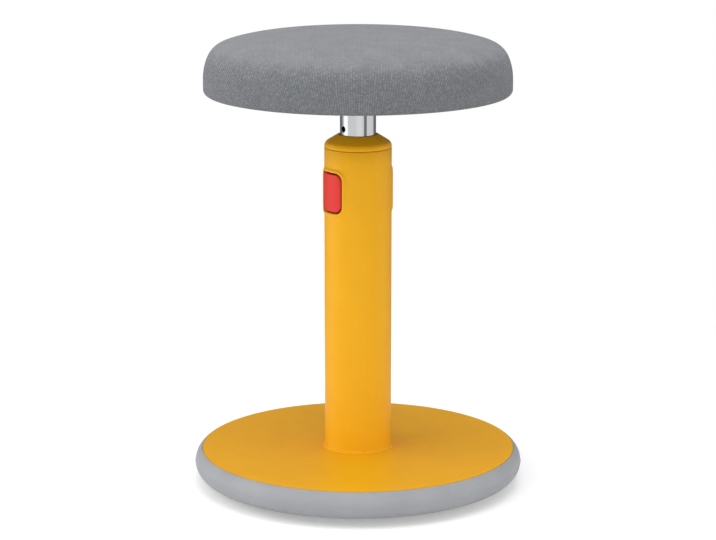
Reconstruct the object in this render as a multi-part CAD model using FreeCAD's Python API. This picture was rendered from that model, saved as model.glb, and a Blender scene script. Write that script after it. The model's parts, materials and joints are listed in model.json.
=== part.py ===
"""Wobble stool: a round rocking base, a height-adjustable column and a round padded seat.

Millimetres, +Z up. The origin is the middle of the flat foot, on the floor.
The two release buttons are on the -X and +X sides of the column.
The stool stands at its lowest height, with both buttons out.
"""
import FreeCAD, Part
import math
import os

# Clearances
running_fit = 0.08      # radial, between round parts that slide or turn in each other
passing_gap = 0.3       # between pieces that move past each other
nesting_gap = 0.15      # radial, between round pieces fixed inside each other
press_gap = 0.05        # the same, between pieces pressed or welded together
tip_gap = 0.2           # between a lever's rounded tip and the piece that it pushes
overshoot = 1.0         # how far a cutting shape runs past the piece that it cuts

# Base
rim_radius = 185.0            # widest line of the rubber sole
rim_widest_height = 24.6
rim_low_inset = 10.0          # from the widest line in to where the rim meets the domed underside
foot_radius = 60.0            # flat middle of the underside
rocker_radius = 700.0         # curve of the underside around the flat foot
base_height = 40.0            # top of the cover disc
cover_inset = 8.7             # from the widest line in to the cover disc
cover_wall = 2.5
cover_lip_depth = 7.0
ballast_inset = 18.0          # from the widest line in to the steel disc in the sole
ballast_thickness = 6.0
ballast_height = 13.0         # its underside above the floor
sole_inner_gap = 0.5          # sole wall around the ballast disc
dome_band_count = 3           # conical bands that make up the domed underside
rim_band_count = 4            # and each round side of the rim

# Guide tube, welded to its flange
flange_border = 14.0          # past the bolts' circle
guide_tube_wall = 2.0
guide_tube_drop = 7.0         # its end below the casing's top
flange_bolt_gap = 8.5         # bolts' circle outside the casing
flange_thickness = 6.0
flange_bolt_count = 3
flange_bolt_radius = 4.0
flange_bolt_head = 6.5        # half the width across flats
flange_bolt_head_height = 5.0
bolt_pocket_radius = 9.5

# Column casing and cap
casing_radius = 37.5
casing_wall = 3.0
casing_top = 383.0
foot_bead_reach = 2.7         # past the casing
foot_bead_height = 2.2
foot_bead_slope = 1.0
seam_gap = 0.8                # dark joint line between casing and cap
cap_straight = 0.8            # upright part of the cap above the joint line
cap_shoulder_radius = 7.3
cap_slope = 31.5              # degrees from level
cap_top_width = 2.2           # flat edge round the cap's bore
cap_spigot_depth = 5.0
cap_band_count = 3            # conical bands of the shoulder

# Chrome tube and its guides
slide_room = 3.0              # between the chrome tube and the guide tube
tube_wall = 2.0
bush_length = 46.0
bush_flange_thickness = 2.0
slide_ring_length = 18.0
slide_ring_lip = 2.5
vent_radius = 3.5
vent_drop = 39.2              # below the seat's underside
vent_angle = 183.5            # degrees from +X

# Gas spring: the housing is fixed in the base, the rod lifts the seat
valve_room = 13.0             # from the lever's pivot up to the housing
cylinder_drop = 38.0          # its top below the casing's top
cylinder_radius = 14.0
cylinder_wall = 1.4
cylinder_end = 20.0           # closed end with the valve
cylinder_guide = 18.0         # rod guide and seal at the top
taper_length = 30.0
taper_small_radius = 13.0
socket_length = 31.2
socket_overhang = 2.0         # below the housing
rod_radius = 5.0
piston_length = 12.0
piston_gap = 2.0              # above the valve end
valve_stem_radius = 2.5
valve_head_radius = 4.0
valve_head_height = 2.0
valve_bore_depth = 18.0
valve_stem_reach = 15.0       # into the housing

# Release levers
pivot_rise = 10.0             # above the flange
pivot_reach = 12.0            # from the column's axis
rod_inset = 7.5               # push rods and springs, inside the casing's outer face
guide_gap = 5.0               # from the guide tube's face to the push rods' middles
finger_reach = 2.0            # inner tips, from the column's axis
finger_rise = 3.5             # inner tip's centre above the pivot
pad_rise = 1.0                # outer tip's centre above the pivot
tip_radius = 1.5
lever_width = 5.0
lever_bar = 4.0
lever_boss_radius = 4.0
pivot_pin_radius = 2.0
pivot_pin_end = 1.0           # past the bracket's cheek
bracket_wall = 2.0
bracket_border = 1.0          # base past the cheeks
slot_width = 9.0
slot_height = 14.0

# Push rods, yoke and return springs
push_rod_radius = 2.0
yoke_wall = 2.3
yoke_length = 42.0
yoke_drop = 5.6               # its top below the buttons' middle
yoke_lug_height = 4.0
yoke_lug_width = 10.0
lug_end = 3.5                 # past the push rods' middles
ear_end = 1.5                 # the same, of the ears
ear_end_drop = 1.5            # the sloping face's outer end, below the yoke's top
ear_height = 11.0
ear_width = 8.0
guide_lug_height = 4.0
lower_lug_bottom = 60.0
spring_length = 34.0          # room between the fixed lug and the yoke
spring_radius = 3.3
spring_wire = 1.0
spring_turns = 4
spring_steps = 7              # straight runs in a turn
spring_end_gap = 0.1

# Buttons
button_drop = 47.4            # their middle below the casing's top
button_width = 37.0
button_height = 46.0
button_corner = 8.0
button_wall = 3.0
button_proud = 1.0            # above the bezel
button_lip = 2.0
button_lip_wall = 1.2
button_skirt = 2.0
window_gap = 0.5
bezel_width = 3.2
bezel_rise = 1.5
bezel_slope = 0.8             # how far the bezel's flank leans in
rib_width = 6.0
rib_start = 0.5               # inside the push rods' middles
rib_rise = 8.4                # its top above the button's middle

# Seat
seat_gap = 61.0               # from the casing's top to the seat's underside, at its lowest
seat_radius = 170.75
seat_corner = 9.0             # rounded lower edge
seat_upright = 8.0            # straight part of the side
seat_side_curve = 58.0
seat_side_angle = 25.0        # degrees from upright
seat_shoulder_curve = 25.0
seat_shoulder_angle = 73.6    # the same, at the shoulder's upper end
seat_top_curve = 212.0
corner_band_count = 3         # conical bands that make up each round stretch
side_band_count = 2
shoulder_band_count = 4
top_band_count = 2
hem_inset = 22.75             # from the seat's widest line in to the edge of the cover under the board
foam_side = 10.75             # foam round the board
board_thickness = 12.0
plate_side = 140.0
plate_corner = 15.0
plate_opening = 10.0          # round hole over the rod's nut
plate_thickness = 3.0
plate_collar_wall = 4.0
plate_collar_length = 19.0
plate_bolt_place = 52.0       # from the middle, along X and Y
plate_bolt_radius = 3.0
plate_bolt_head = 5.0         # half the width across flats
plate_bolt_head_height = 3.5
plate_bolt_length = 14.0
dust_cover_wall = 0.8
dust_cover_gap = 1.0          # round the plate
plug_length = 18.0
plug_drop = 2.0               # below the plate
stud_radius = 4.0
bearing_radius = 14.0
bearing_thickness = 3.0
nut_half_flats = 6.5
nut_height = 4.0
nut_gap = 0.1
shoulder_width = 4.0
shoulder_height = 3.0

ORIGIN = FreeCAD.Vector(0, 0, 0)
UP = FreeCAD.Vector(0, 0, 1)
SIDES = (-1, 1)               # the -X and the +X side

# Places across the base and the seat
rim_low_radius = rim_radius - rim_low_inset
cover_radius = rim_radius - cover_inset
ballast_radius = rim_radius - ballast_inset
board_radius = seat_radius - foam_side
hem_radius = seat_radius - hem_inset

# Places across the column, from the casing inward
casing_bore = casing_radius - casing_wall
foot_bead_radius = casing_radius + foot_bead_reach
flange_bolt_circle = casing_radius + flange_bolt_gap
flange_radius = flange_bolt_circle + flange_border
rod_reach = casing_radius - rod_inset
lug_reach = rod_reach + lug_end
ear_reach = rod_reach + ear_end
rib_inner_reach = rod_reach - rib_start
guide_tube_radius = rod_reach - guide_gap
guide_tube_bore = guide_tube_radius - guide_tube_wall
tube_radius = guide_tube_bore - slide_room
tube_bore = tube_radius - tube_wall
plate_collar_radius = tube_radius + plate_collar_wall
bezel_radius = casing_radius + bezel_rise
button_radius = bezel_radius + button_proud
lip_radius = casing_bore - passing_gap

# Heights, from the floor up
ballast_top = ballast_height + ballast_thickness
flange_top = ballast_top + flange_thickness
cover_underside = base_height - cover_wall
pivot_height = flange_top + pivot_rise
cylinder_bottom = pivot_height + valve_room
socket_bottom = cylinder_bottom - socket_overhang
socket_top = socket_bottom + socket_length
tube_bottom = socket_top + slide_ring_lip + passing_gap
piston_start = cylinder_bottom + cylinder_end + piston_gap

# Heights that go with the casing's top
guide_tube_top = casing_top - guide_tube_drop
cylinder_top = casing_top - cylinder_drop
button_middle = casing_top - button_drop
rib_top = button_middle + rib_rise
yoke_top = button_middle - yoke_drop
yoke_bottom = yoke_top - yoke_length
ear_bottom = yoke_top - ear_height
ramp_level = yoke_top - ear_end_drop + ear_reach    # radius plus height of the sloping face
spring_bottom = yoke_bottom - spring_length
upper_lug_bottom = spring_bottom - guide_lug_height
seat_bottom = casing_top + seat_gap
board_height = seat_bottom + plate_thickness
board_top = board_height + board_thickness
plug_top = seat_bottom - plug_drop
plug_bottom = plug_top - plug_length
rod_shoulder = plug_bottom - bearing_thickness
vent_height = seat_bottom - vent_drop


def at(radius, height):
    """A point of a turned outline."""
    return FreeCAD.Vector(radius, 0, height)


def bands(start, curve, first, last, count):
    """Points of a curve that leans in from upright, in equal steps. Angles are degrees from upright."""
    points = []
    for step in range(count + 1):
        angle = math.radians(first + (last - first) * step / count)
        inward = math.cos(math.radians(first)) - math.cos(angle)
        upward = math.sin(angle) - math.sin(math.radians(first))
        points.append((start[0] - curve * inward, start[1] + curve * upward))
    return points


def bands_between(upright, end, count):
    """Points of the round curve that leaves one point straight up or down and reaches the other."""
    across = upright[0] - end[0]
    along = end[1] - upright[1]
    curve = (across ** 2 + along ** 2) / (2 * across)
    return bands(upright, curve, 0, math.degrees(math.asin(along / curve)), count)


def turned(points):
    """The solid that a closed outline of radius and height sweeps round the Z axis."""
    corners = [at(*point) for point in points + points[:1]]
    return Part.Face(Part.makePolygon(corners)).revolve(ORIGIN, UP, 360)


def disc(radius, bottom, top):
    return Part.makeCylinder(radius, top - bottom, at(0, bottom))


def pin(radius, x, y, bottom, top):
    """An upright round piece away from the axis."""
    return Part.makeCylinder(radius, top - bottom, FreeCAD.Vector(x, y, bottom))


def hole(radius, bottom, top, x=0.0, y=0.0):
    """The cutting shape of an upright round hole through a piece."""
    return pin(radius, x, y, bottom - overshoot, top + overshoot)


def tube(outer, inner, bottom, top):
    return disc(outer, bottom, top).cut(hole(inner, bottom, top))


def cross_pin(radius, x, height, length):
    """A round piece along Y."""
    start = FreeCAD.Vector(x, -length / 2, height)
    return Part.makeCylinder(radius, length, start, FreeCAD.Vector(0, 1, 0))


def block(x_from, x_to, width, bottom, top):
    """A box across the Y axis, mirrored to the side that x_from and x_to are on."""
    low, high = sorted((x_from, x_to))
    corner = FreeCAD.Vector(low, -width / 2, bottom)
    return Part.makeBox(high - low, width, top - bottom, corner)


def round_places(circle, count, first=45.0):
    for index in range(count):
        angle = math.radians(first + 360.0 * index / count)
        yield circle * math.cos(angle), circle * math.sin(angle)


def hexagon(half_flats, x, y, bottom, top):
    corner = half_flats / math.cos(math.radians(30))
    places = list(round_places(corner, 6, first=0.0))
    points = [FreeCAD.Vector(x + across, y + along, bottom) for across, along in places + places[:1]]
    return Part.Face(Part.makePolygon(points)).extrude(UP * (top - bottom))


def group(solids):
    return Part.makeCompound(solids)


def rise(radius):
    """Height of the domed underside above the floor."""
    out = max(radius - foot_radius, 0.0)
    return rocker_radius - math.sqrt(rocker_radius ** 2 - out ** 2)


# Base

def sole():
    """Grey rubber sole: rounded rim, domed underside and a seat for the ballast disc and the cover."""
    wall = ballast_radius + sole_inner_gap
    widest = (rim_radius, rim_widest_height)
    low = (rim_low_radius, rise(rim_low_radius))
    lip_line = cover_radius + nesting_gap
    upper = (lip_line, base_height - passing_gap)
    shelf = base_height - cover_lip_depth - nesting_gap
    step = (rim_low_radius - foot_radius) / dome_band_count
    dome = [(foot_radius + step * k, rise(foot_radius + step * k)) for k in range(dome_band_count)]
    under = bands_between(widest, low, rim_band_count)
    over = bands_between(widest, upper, rim_band_count)
    outline = [(0, 0)] + dome + under[::-1] + over[1:]
    outline += [(lip_line, shelf), (wall, shelf), (wall, ballast_height), (0, ballast_height)]
    solid = turned(outline)
    for x, y in round_places(flange_bolt_circle, flange_bolt_count):
        solid = solid.cut(hole(bolt_pocket_radius, 0, ballast_height, x, y))
    return solid


def ballast_disc():
    solid = disc(ballast_radius, ballast_height, ballast_top)
    for x, y in round_places(flange_bolt_circle, flange_bolt_count):
        solid = solid.cut(hole(flange_bolt_radius + nesting_gap, ballast_height, ballast_top, x, y))
    return solid


def base_cover():
    """Flat yellow disc with a turned-down lip and an opening for the column."""
    lip_bottom = base_height - cover_lip_depth
    lip_inner = cover_radius - cover_wall
    opening = casing_radius + nesting_gap
    return turned([
        (opening, base_height), (cover_radius, base_height), (cover_radius, lip_bottom),
        (lip_inner, lip_bottom), (lip_inner, cover_underside), (opening, cover_underside),
    ])


def post_flange():
    """Steel disc that the guide tube is welded to."""
    solid = disc(flange_radius, ballast_top, flange_top)
    for x, y in round_places(flange_bolt_circle, flange_bolt_count):
        solid = solid.cut(hole(flange_bolt_radius + nesting_gap, ballast_top, flange_top, x, y))
    return solid


def guide_tube():
    """Steel tube with the gas spring's tapered socket inside and the push rods' guides outside."""
    solid = tube(guide_tube_radius, guide_tube_bore, flange_top, guide_tube_top)
    solid = solid.fuse(disc(guide_tube_bore, socket_bottom, socket_top))
    slot_bottom = flange_top + bracket_wall
    slot_top = slot_bottom + slot_height
    for side in SIDES:
        for bottom in (lower_lug_bottom, upper_lug_bottom):
            top = bottom + guide_lug_height
            reach = side * (guide_tube_bore + guide_tube_radius) / 2
            solid = solid.fuse(block(reach, side * lug_reach, yoke_lug_width, bottom, top))
            solid = solid.cut(hole(push_rod_radius + running_fit, bottom, top, side * rod_reach))
        solid = solid.cut(block(side * pivot_reach, side * lug_reach, slot_width, slot_bottom, slot_top))
    return solid.cut(housing_taper(nesting_gap)).removeSplitter()


def housing_taper(gap):
    """The gas spring's tapered end, made wider by a gap, and the straight housing above it."""
    taper_top = cylinder_bottom + taper_length
    slope = (cylinder_radius - taper_small_radius) / taper_length
    below = socket_bottom - overshoot
    lowest = taper_small_radius + gap - slope * (cylinder_bottom - below)
    cone = Part.makeCone(lowest, cylinder_radius + gap, taper_top - below, at(0, below))
    return cone.fuse(disc(cylinder_radius + gap, taper_top, taper_top + overshoot))


def flange_bolts():
    bolts = []
    for x, y in round_places(flange_bolt_circle, flange_bolt_count):
        head = hexagon(flange_bolt_head, x, y, ballast_height - flange_bolt_head_height, ballast_height)
        bolts.append(head.fuse(pin(flange_bolt_radius, x, y, ballast_height, flange_top)))
    return group(bolts)


def flange_nuts():
    nuts = []
    for x, y in round_places(flange_bolt_circle, flange_bolt_count):
        nuts.append(hexagon(flange_bolt_head, x, y, flange_top, flange_top + flange_bolt_head_height))
    return group(nuts)


# Column casing, buttons and cap

def rounded_outline(width, height, corner, x):
    """Rounded rectangle across X, centred on the buttons' height."""
    half, top, low = width / 2, button_middle + height / 2, button_middle - height / 2
    lean = corner * (1 - math.sqrt(0.5))

    def point(y, z):
        return FreeCAD.Vector(x, y, z)

    edges = []
    for y_sign, z_edge, z_sign in ((1, top, 1), (1, low, -1), (-1, low, -1), (-1, top, 1)):
        across = point(y_sign * (half - corner), z_edge)
        along = point(y_sign * half, z_edge - z_sign * corner)
        knee = point(y_sign * (half - lean), z_edge - z_sign * lean)
        edges.append((across, knee, along) if y_sign == z_sign else (along, knee, across))
    wire = []
    for (start, knee, end), following in zip(edges, edges[1:] + edges[:1]):
        wire.append(Part.Arc(start, knee, end).toShape())
        wire.append(Part.makeLine(end, following[0]))
    return Part.Wire(wire)


def rounded_block(width, height, corner, side, lean=0.0):
    """Rounded block from the axis outward on one side, its outer end smaller by the lean all round."""
    inner_x = side * guide_tube_radius
    outer_x = side * (button_radius + overshoot)
    inner = rounded_outline(width, height, corner, inner_x)
    if lean == 0:
        return Part.Face(inner).extrude(FreeCAD.Vector(outer_x - inner_x, 0, 0))
    outer = rounded_outline(width - 2 * lean, height - 2 * lean, corner - lean, outer_x)
    return Part.makeLoft([inner, outer], True, True)


def window(side):
    grow = 2 * window_gap
    return rounded_block(button_width + grow, button_height + grow, button_corner + window_gap, side)


def column_casing():
    """Yellow casing on the flange, with a bead on the cover and a raised bezel round each button."""
    bead_top = base_height + foot_bead_height
    solid = turned([
        (casing_bore, flange_top), (casing_radius, flange_top), (casing_radius, base_height),
        (foot_bead_radius, base_height), (foot_bead_radius, bead_top - foot_bead_slope),
        (casing_radius + foot_bead_slope, bead_top), (casing_radius, bead_top), (casing_radius, casing_top),
        (casing_bore, casing_top),
    ])
    low = button_middle - button_height
    high = button_middle + button_height
    grow = window_gap + bezel_width
    for side in SIDES:
        frame = rounded_block(
            button_width + 2 * grow, button_height + 2 * grow, button_corner + grow, side, bezel_slope
        )
        solid = solid.fuse(frame.common(tube(bezel_radius, casing_bore, low, high)))
    for side in SIDES:
        solid = solid.cut(window(side))
    return solid.removeSplitter()


def button(side):
    """Red button: a curved face with a skirt, a lip that holds it in the casing, and a sloping rib behind."""
    low = button_middle - button_height
    high = button_middle + button_height
    body = rounded_block(button_width, button_height, button_corner, side)
    grow = 2 * button_lip
    lip = rounded_block(button_width + grow, button_height + grow, button_corner + button_lip, side)
    hollow_width = button_width - 2 * button_corner
    hollow_low = button_middle - button_height / 2 + button_skirt
    hollow_high = button_middle + button_height / 2 - button_skirt
    hollow = block(0, side * button_radius, hollow_width, hollow_low, hollow_high)
    lip_inner = lip_radius - button_lip_wall
    solid = body.common(tube(button_radius, lip_inner, low, high))
    solid = solid.fuse(lip.common(tube(lip_radius, lip_inner, low, high)))
    solid = solid.cut(hollow.common(disc(button_radius - button_wall, low, high)))
    return solid.fuse(button_rib(side)).removeSplitter()


def button_rib(side):
    """Rib whose sloping underside pushes the yoke down."""
    face = button_radius - button_wall / 2
    slope = ramp_level + passing_gap
    points = [
        FreeCAD.Vector(side * radius, -rib_width / 2, height)
        for radius, height in (
            (rib_inner_reach, rib_top), (rib_inner_reach, slope - rib_inner_reach), (face, slope - face),
            (face, rib_top), (rib_inner_reach, rib_top),
        )
    ]
    return Part.Face(Part.makePolygon(points)).extrude(FreeCAD.Vector(0, rib_width, 0))


def column_cap():
    """Yellow collar that closes the casing round the chrome tube."""
    bore = tube_radius + passing_gap
    base = casing_top + seam_gap
    spigot = casing_bore - nesting_gap
    spigot_bottom = casing_top - cap_spigot_depth
    low = (casing_radius, base + cap_straight)
    shoulder = bands(low, cap_shoulder_radius, 0, 90 - cap_slope, cap_band_count)
    end = shoulder[-1]
    edge = bore + cap_top_width
    top = end[1] + (end[0] - edge) * math.tan(math.radians(cap_slope))
    outline = [(casing_radius, base)] + shoulder
    outline += [(edge, top), (bore, top), (bore, spigot_bottom), (spigot, spigot_bottom), (spigot, base)]
    return turned(outline)


# Guides

def guide_bush():
    """Plastic bush in the top of the guide tube, with a flange on the tube's end."""
    flange_top_height = guide_tube_top + bush_flange_thickness
    bore = tube_radius + running_fit
    body = guide_tube_bore - nesting_gap
    return turned([
        (bore, guide_tube_top - bush_length), (body, guide_tube_top - bush_length),
        (body, guide_tube_top), (guide_tube_radius, guide_tube_top),
        (guide_tube_radius, flange_top_height), (bore, flange_top_height),
    ])


def slide_ring():
    """Plastic ring on the lower end of the chrome tube, which slides in the guide tube."""
    lip_bottom = tube_bottom - slide_ring_lip
    outer = guide_tube_bore - running_fit
    inner = tube_radius + nesting_gap
    return turned([
        (tube_bore, lip_bottom), (outer, lip_bottom), (outer, tube_bottom + slide_ring_length),
        (inner, tube_bottom + slide_ring_length), (inner, tube_bottom), (tube_bore, tube_bottom),
    ])


# Gas spring

def gas_cylinder():
    """Housing with a tapered lower end; the valve stem enters below and the rod above."""
    bore = cylinder_radius - cylinder_wall
    taper_top = cylinder_bottom + taper_length
    solid = turned([
        (0, cylinder_bottom), (taper_small_radius, cylinder_bottom), (cylinder_radius, taper_top),
        (cylinder_radius, cylinder_top), (0, cylinder_top),
    ])
    solid = solid.cut(disc(bore, cylinder_bottom + cylinder_end, cylinder_top - cylinder_guide))
    solid = solid.cut(hole(rod_radius + running_fit, cylinder_top - cylinder_guide, cylinder_top))
    valve_bore_top = cylinder_bottom + valve_bore_depth
    return solid.cut(disc(valve_stem_radius + running_fit, cylinder_bottom - overshoot, valve_bore_top))


def piston():
    bore = cylinder_radius - cylinder_wall - running_fit
    return tube(bore, rod_radius, piston_start, piston_start + piston_length)


def piston_rod():
    """Rod with a shoulder under the thrust bearing and a thinner stud through the tube's plug."""
    stud_top = plug_top + nut_gap + nut_height
    rod = disc(rod_radius, piston_start, rod_shoulder)
    rod = rod.fuse(disc(stud_radius, rod_shoulder, stud_top))
    return rod.fuse(disc(rod_radius + shoulder_width, rod_shoulder - shoulder_height, rod_shoulder))


def thrust_bearing():
    return tube(bearing_radius, stud_radius + nesting_gap, rod_shoulder, plug_bottom - nut_gap)


def rod_nut():
    """Nut on the stud, just clear of the plug that turns under it."""
    bottom = plug_top + nut_gap
    nut = hexagon(nut_half_flats, 0, 0, bottom, bottom + nut_height)
    return nut.cut(hole(stud_radius + press_gap, bottom, bottom + nut_height))


def valve_stem():
    """Release stem: a flat head over the levers' inner tips and a stem into the housing."""
    head_bottom = pivot_height + finger_rise + tip_radius + tip_gap
    head_top = head_bottom + valve_head_height
    stem = disc(valve_stem_radius, head_top, cylinder_bottom + valve_stem_reach)
    return disc(valve_head_radius, head_bottom, head_top).fuse(stem)


# Release mechanism

def lever_bracket():
    """Welded base with two cheeks on each side of the axis, which hold the lever pins."""
    base_top = flange_top + bracket_wall
    end = pivot_reach + lever_boss_radius + bracket_border
    solid = block(-end, end, lever_cheek_span(), flange_top, base_top)
    inside = lever_width + 2 * passing_gap
    cheek_top = pivot_height + lever_boss_radius
    for side in SIDES:
        near = side * pivot_reach - lever_boss_radius
        far = side * pivot_reach + lever_boss_radius
        cheeks = block(near, far, lever_cheek_span(), base_top, cheek_top)
        solid = solid.fuse(cheeks.cut(block(near, far, inside, base_top, cheek_top)))
        bore = cross_pin(pivot_pin_radius + press_gap, side * pivot_reach, pivot_height, lever_cheek_span())
        solid = solid.cut(bore)
    return solid.removeSplitter()


def lever_cheek_span():
    return lever_width + 2 * passing_gap + 2 * bracket_wall


def lever_pins():
    length = lever_cheek_span() + 2 * pivot_pin_end
    return group([cross_pin(pivot_pin_radius, side * pivot_reach, pivot_height, length) for side in SIDES])


def lever(side):
    """Two-armed lever: the push rod presses its outer pad, and its inner finger lifts the valve stem."""
    middle = side * pivot_reach
    bar_bottom = pivot_height - lever_bar / 2
    bar_top = pivot_height + lever_bar / 2

    def solid_at(reach, radius, height):
        return cross_pin(radius, side * reach, height, lever_width)

    inner_end = side * (finger_reach + tip_radius)
    outer_end = side * (rod_reach + tip_radius)
    solid = block(inner_end, outer_end, lever_width, bar_bottom, bar_top)
    solid = solid.fuse(cross_pin(lever_boss_radius, middle, pivot_height, lever_width))
    solid = solid.fuse(block(
        side * (finger_reach - tip_radius), side * (finger_reach + 2 * tip_radius), lever_width,
        bar_bottom, pivot_height + finger_rise,
    ))
    solid = solid.fuse(solid_at(finger_reach, tip_radius, pivot_height + finger_rise))
    solid = solid.fuse(solid_at(rod_reach, tip_radius, pivot_height + pad_rise))
    bore_length = lever_width + 2 * overshoot
    solid = solid.cut(cross_pin(pivot_pin_radius + running_fit, middle, pivot_height, bore_length))
    return solid.removeSplitter()


def push_rods():
    bottom = pivot_height + pad_rise + tip_radius + tip_gap
    top = yoke_bottom + yoke_lug_height
    return group([pin(push_rod_radius, side * rod_reach, 0, bottom, top) for side in SIDES])


def release_yoke():
    """Sleeve round the guide tube: two sloping ears for the buttons, two lugs for the push rods."""
    bore = guide_tube_radius + running_fit
    outer = bore + yoke_wall
    lug_top = yoke_bottom + yoke_lug_height
    solid = disc(outer, yoke_bottom, yoke_top)
    for side in SIDES:
        solid = solid.fuse(block(0, side * lug_reach, yoke_lug_width, yoke_bottom, lug_top))
        points = [
            FreeCAD.Vector(side * radius, -ear_width / 2, height)
            for radius, height in (
                (0, ear_bottom), (ear_reach, ear_bottom), (ear_reach, ramp_level - ear_reach),
                (ramp_level - yoke_top, yoke_top), (0, yoke_top), (0, ear_bottom),
            )
        ]
        solid = solid.fuse(Part.Face(Part.makePolygon(points)).extrude(FreeCAD.Vector(0, ear_width, 0)))
    solid = solid.cut(hole(bore, yoke_bottom, yoke_top))
    for side in SIDES:
        solid = solid.cut(hole(push_rod_radius + press_gap, yoke_bottom, lug_top, side * rod_reach))
    return solid.removeSplitter()


def return_spring(side):
    """Coil round a push rod, from the fixed lug up to the yoke, in short straight runs of square wire."""
    half = spring_wire / 2
    low = spring_bottom + half + spring_end_gap
    high = yoke_bottom - half - spring_end_gap
    steps = spring_turns * spring_steps
    path = []
    for step in range(steps + 1):
        angle = 2 * math.pi * step / spring_steps
        across = FreeCAD.Vector(spring_radius * math.cos(angle), spring_radius * math.sin(angle), 0)
        path.append(FreeCAD.Vector(side * rod_reach, 0, low + (high - low) * step / steps) + across)
    runs = [(end - start).normalize() for start, end in zip(path, path[1:])]
    outward = UP.cross(runs[0]).normalize() * -half
    upward = runs[0].cross(outward).normalize() * half
    corners = [path[0] + outward * out + upward * up for out, up in ((1, 1), (1, -1), (-1, -1), (-1, 1))]
    sections = [Part.makePolygon(corners + corners[:1])]
    for index, run in enumerate(runs):
        following = runs[min(index + 1, steps - 1)]
        mitre = run + following
        end = path[index + 1]
        corners = [corner + run * ((end - corner).dot(mitre) / run.dot(mitre)) for corner in corners]
        sections.append(Part.makePolygon(corners + corners[:1]))
    return Part.makeLoft(sections, True, True)


# Seat

def inner_tube():
    """Chrome tube with a vent hole near its top."""
    solid = tube(tube_radius, tube_bore, tube_bottom, seat_bottom)
    angle = math.radians(vent_angle)
    outward = FreeCAD.Vector(math.cos(angle), math.sin(angle), 0)
    start = outward * (tube_bore / 2) + UP * vent_height
    return solid.cut(Part.makeCylinder(vent_radius, tube_radius, start, outward))


def tube_plug():
    return tube(tube_bore - press_gap, stud_radius + running_fit, plug_bottom, plug_top)


def plate_places():
    return [(plate_bolt_place * x, plate_bolt_place * y) for x in SIDES for y in SIDES]


def rounded_square(side_length, corner, bottom, top):
    half = side_length / 2
    box = Part.makeBox(side_length, side_length, top - bottom, FreeCAD.Vector(-half, -half, bottom))
    upright = [edge for edge in box.Edges if edge.BoundBox.ZLength > (top - bottom) / 2]
    return box.makeFillet(corner, upright)


def seat_plate():
    """Square steel plate under the board, with an opening over the rod's nut."""
    solid = rounded_square(plate_side, plate_corner, seat_bottom, board_height)
    solid = solid.cut(hole(plate_opening, seat_bottom, board_height))
    for x, y in plate_places():
        solid = solid.cut(hole(plate_bolt_radius + nesting_gap, seat_bottom, board_height, x, y))
    return solid


def plate_collar():
    """Steel collar welded under the plate, round the chrome tube."""
    bottom = seat_bottom - plate_collar_length
    return tube(plate_collar_radius, tube_radius + press_gap, bottom, seat_bottom)


def plate_bolts():
    bolts = []
    for x, y in plate_places():
        head = hexagon(plate_bolt_head, x, y, seat_bottom - plate_bolt_head_height, seat_bottom)
        bolts.append(head.fuse(pin(plate_bolt_radius, x, y, seat_bottom, seat_bottom + plate_bolt_length)))
    return group(bolts)


def seat_board():
    """Plywood disc, bored for the bolts that hold the plate."""
    solid = disc(board_radius, board_height, board_top)
    for x, y in plate_places():
        solid = solid.cut(hole(plate_bolt_radius + nesting_gap, board_height, board_top, x, y))
    return solid


def seat_cushion():
    """Round foam pad with its knitted cover, whose hem is turned under the board."""
    hem_top = board_height - nesting_gap
    side_low = (seat_radius, seat_bottom + seat_corner)
    side_high = (seat_radius, side_low[1] + seat_upright)
    corner = bands(side_low, seat_corner, 0, -90, corner_band_count)
    side = bands(side_high, seat_side_curve, 0, seat_side_angle, side_band_count)
    shoulder = bands(side[-1], seat_shoulder_curve, seat_side_angle, seat_shoulder_angle, shoulder_band_count)
    top = bands(shoulder[-1], seat_top_curve, seat_shoulder_angle, 90, top_band_count)
    wall = board_radius + nesting_gap
    floor = board_top + nesting_gap
    outline = [(hem_radius, seat_bottom)] + corner[::-1] + side + shoulder[1:] + top[1:]
    outline += [(0, top[-1][1]), (0, floor), (wall, floor), (wall, hem_top), (hem_radius, hem_top)]
    return turned(outline)


def dust_cover():
    """Thin black sheet under the board, inside the cover's hem and round the steel plate."""
    top = board_height - nesting_gap
    opening = plate_side + 2 * dust_cover_gap
    sheet = disc(hem_radius - passing_gap, top - dust_cover_wall, top)
    return sheet.cut(rounded_square(opening, plate_corner + dust_cover_gap, seat_bottom, board_top))


pieces = {
    "sole": sole(),
    "ballast_disc": ballast_disc(),
    "base_cover": base_cover(),
    "post_flange": post_flange(),
    "guide_tube": guide_tube(),
    "flange_bolts": flange_bolts(),
    "flange_nuts": flange_nuts(),
    "column_casing": column_casing(),
    "column_cap": column_cap(),
    "guide_bush": guide_bush(),
    "gas_cylinder": gas_cylinder(),
    "lever_bracket": lever_bracket(),
    "lever_pins": lever_pins(),
    "lever_left": lever(-1),
    "lever_right": lever(1),
    "valve_stem": valve_stem(),
    "push_rods": push_rods(),
    "release_yoke": release_yoke(),
    "return_springs": group([return_spring(side) for side in SIDES]),
    "button_left": button(-1),
    "button_right": button(1),
    "piston": piston(),
    "piston_rod": piston_rod(),
    "thrust_bearing": thrust_bearing(),
    "rod_nut": rod_nut(),
    "inner_tube": inner_tube(),
    "slide_ring": slide_ring(),
    "tube_plug": tube_plug(),
    "seat_plate": seat_plate(),
    "plate_collar": plate_collar(),
    "plate_bolts": plate_bolts(),
    "seat_board": seat_board(),
    "seat_cushion": seat_cushion(),
    "dust_cover": dust_cover(),
}

os.makedirs("parts", exist_ok=True)
for name, shape in pieces.items():
    shape.exportStep(os.path.join("parts", name + ".step"))
    print(name, "solids", len(shape.Solids), "volume", round(shape.Volume), "valid", shape.isValid())
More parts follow.
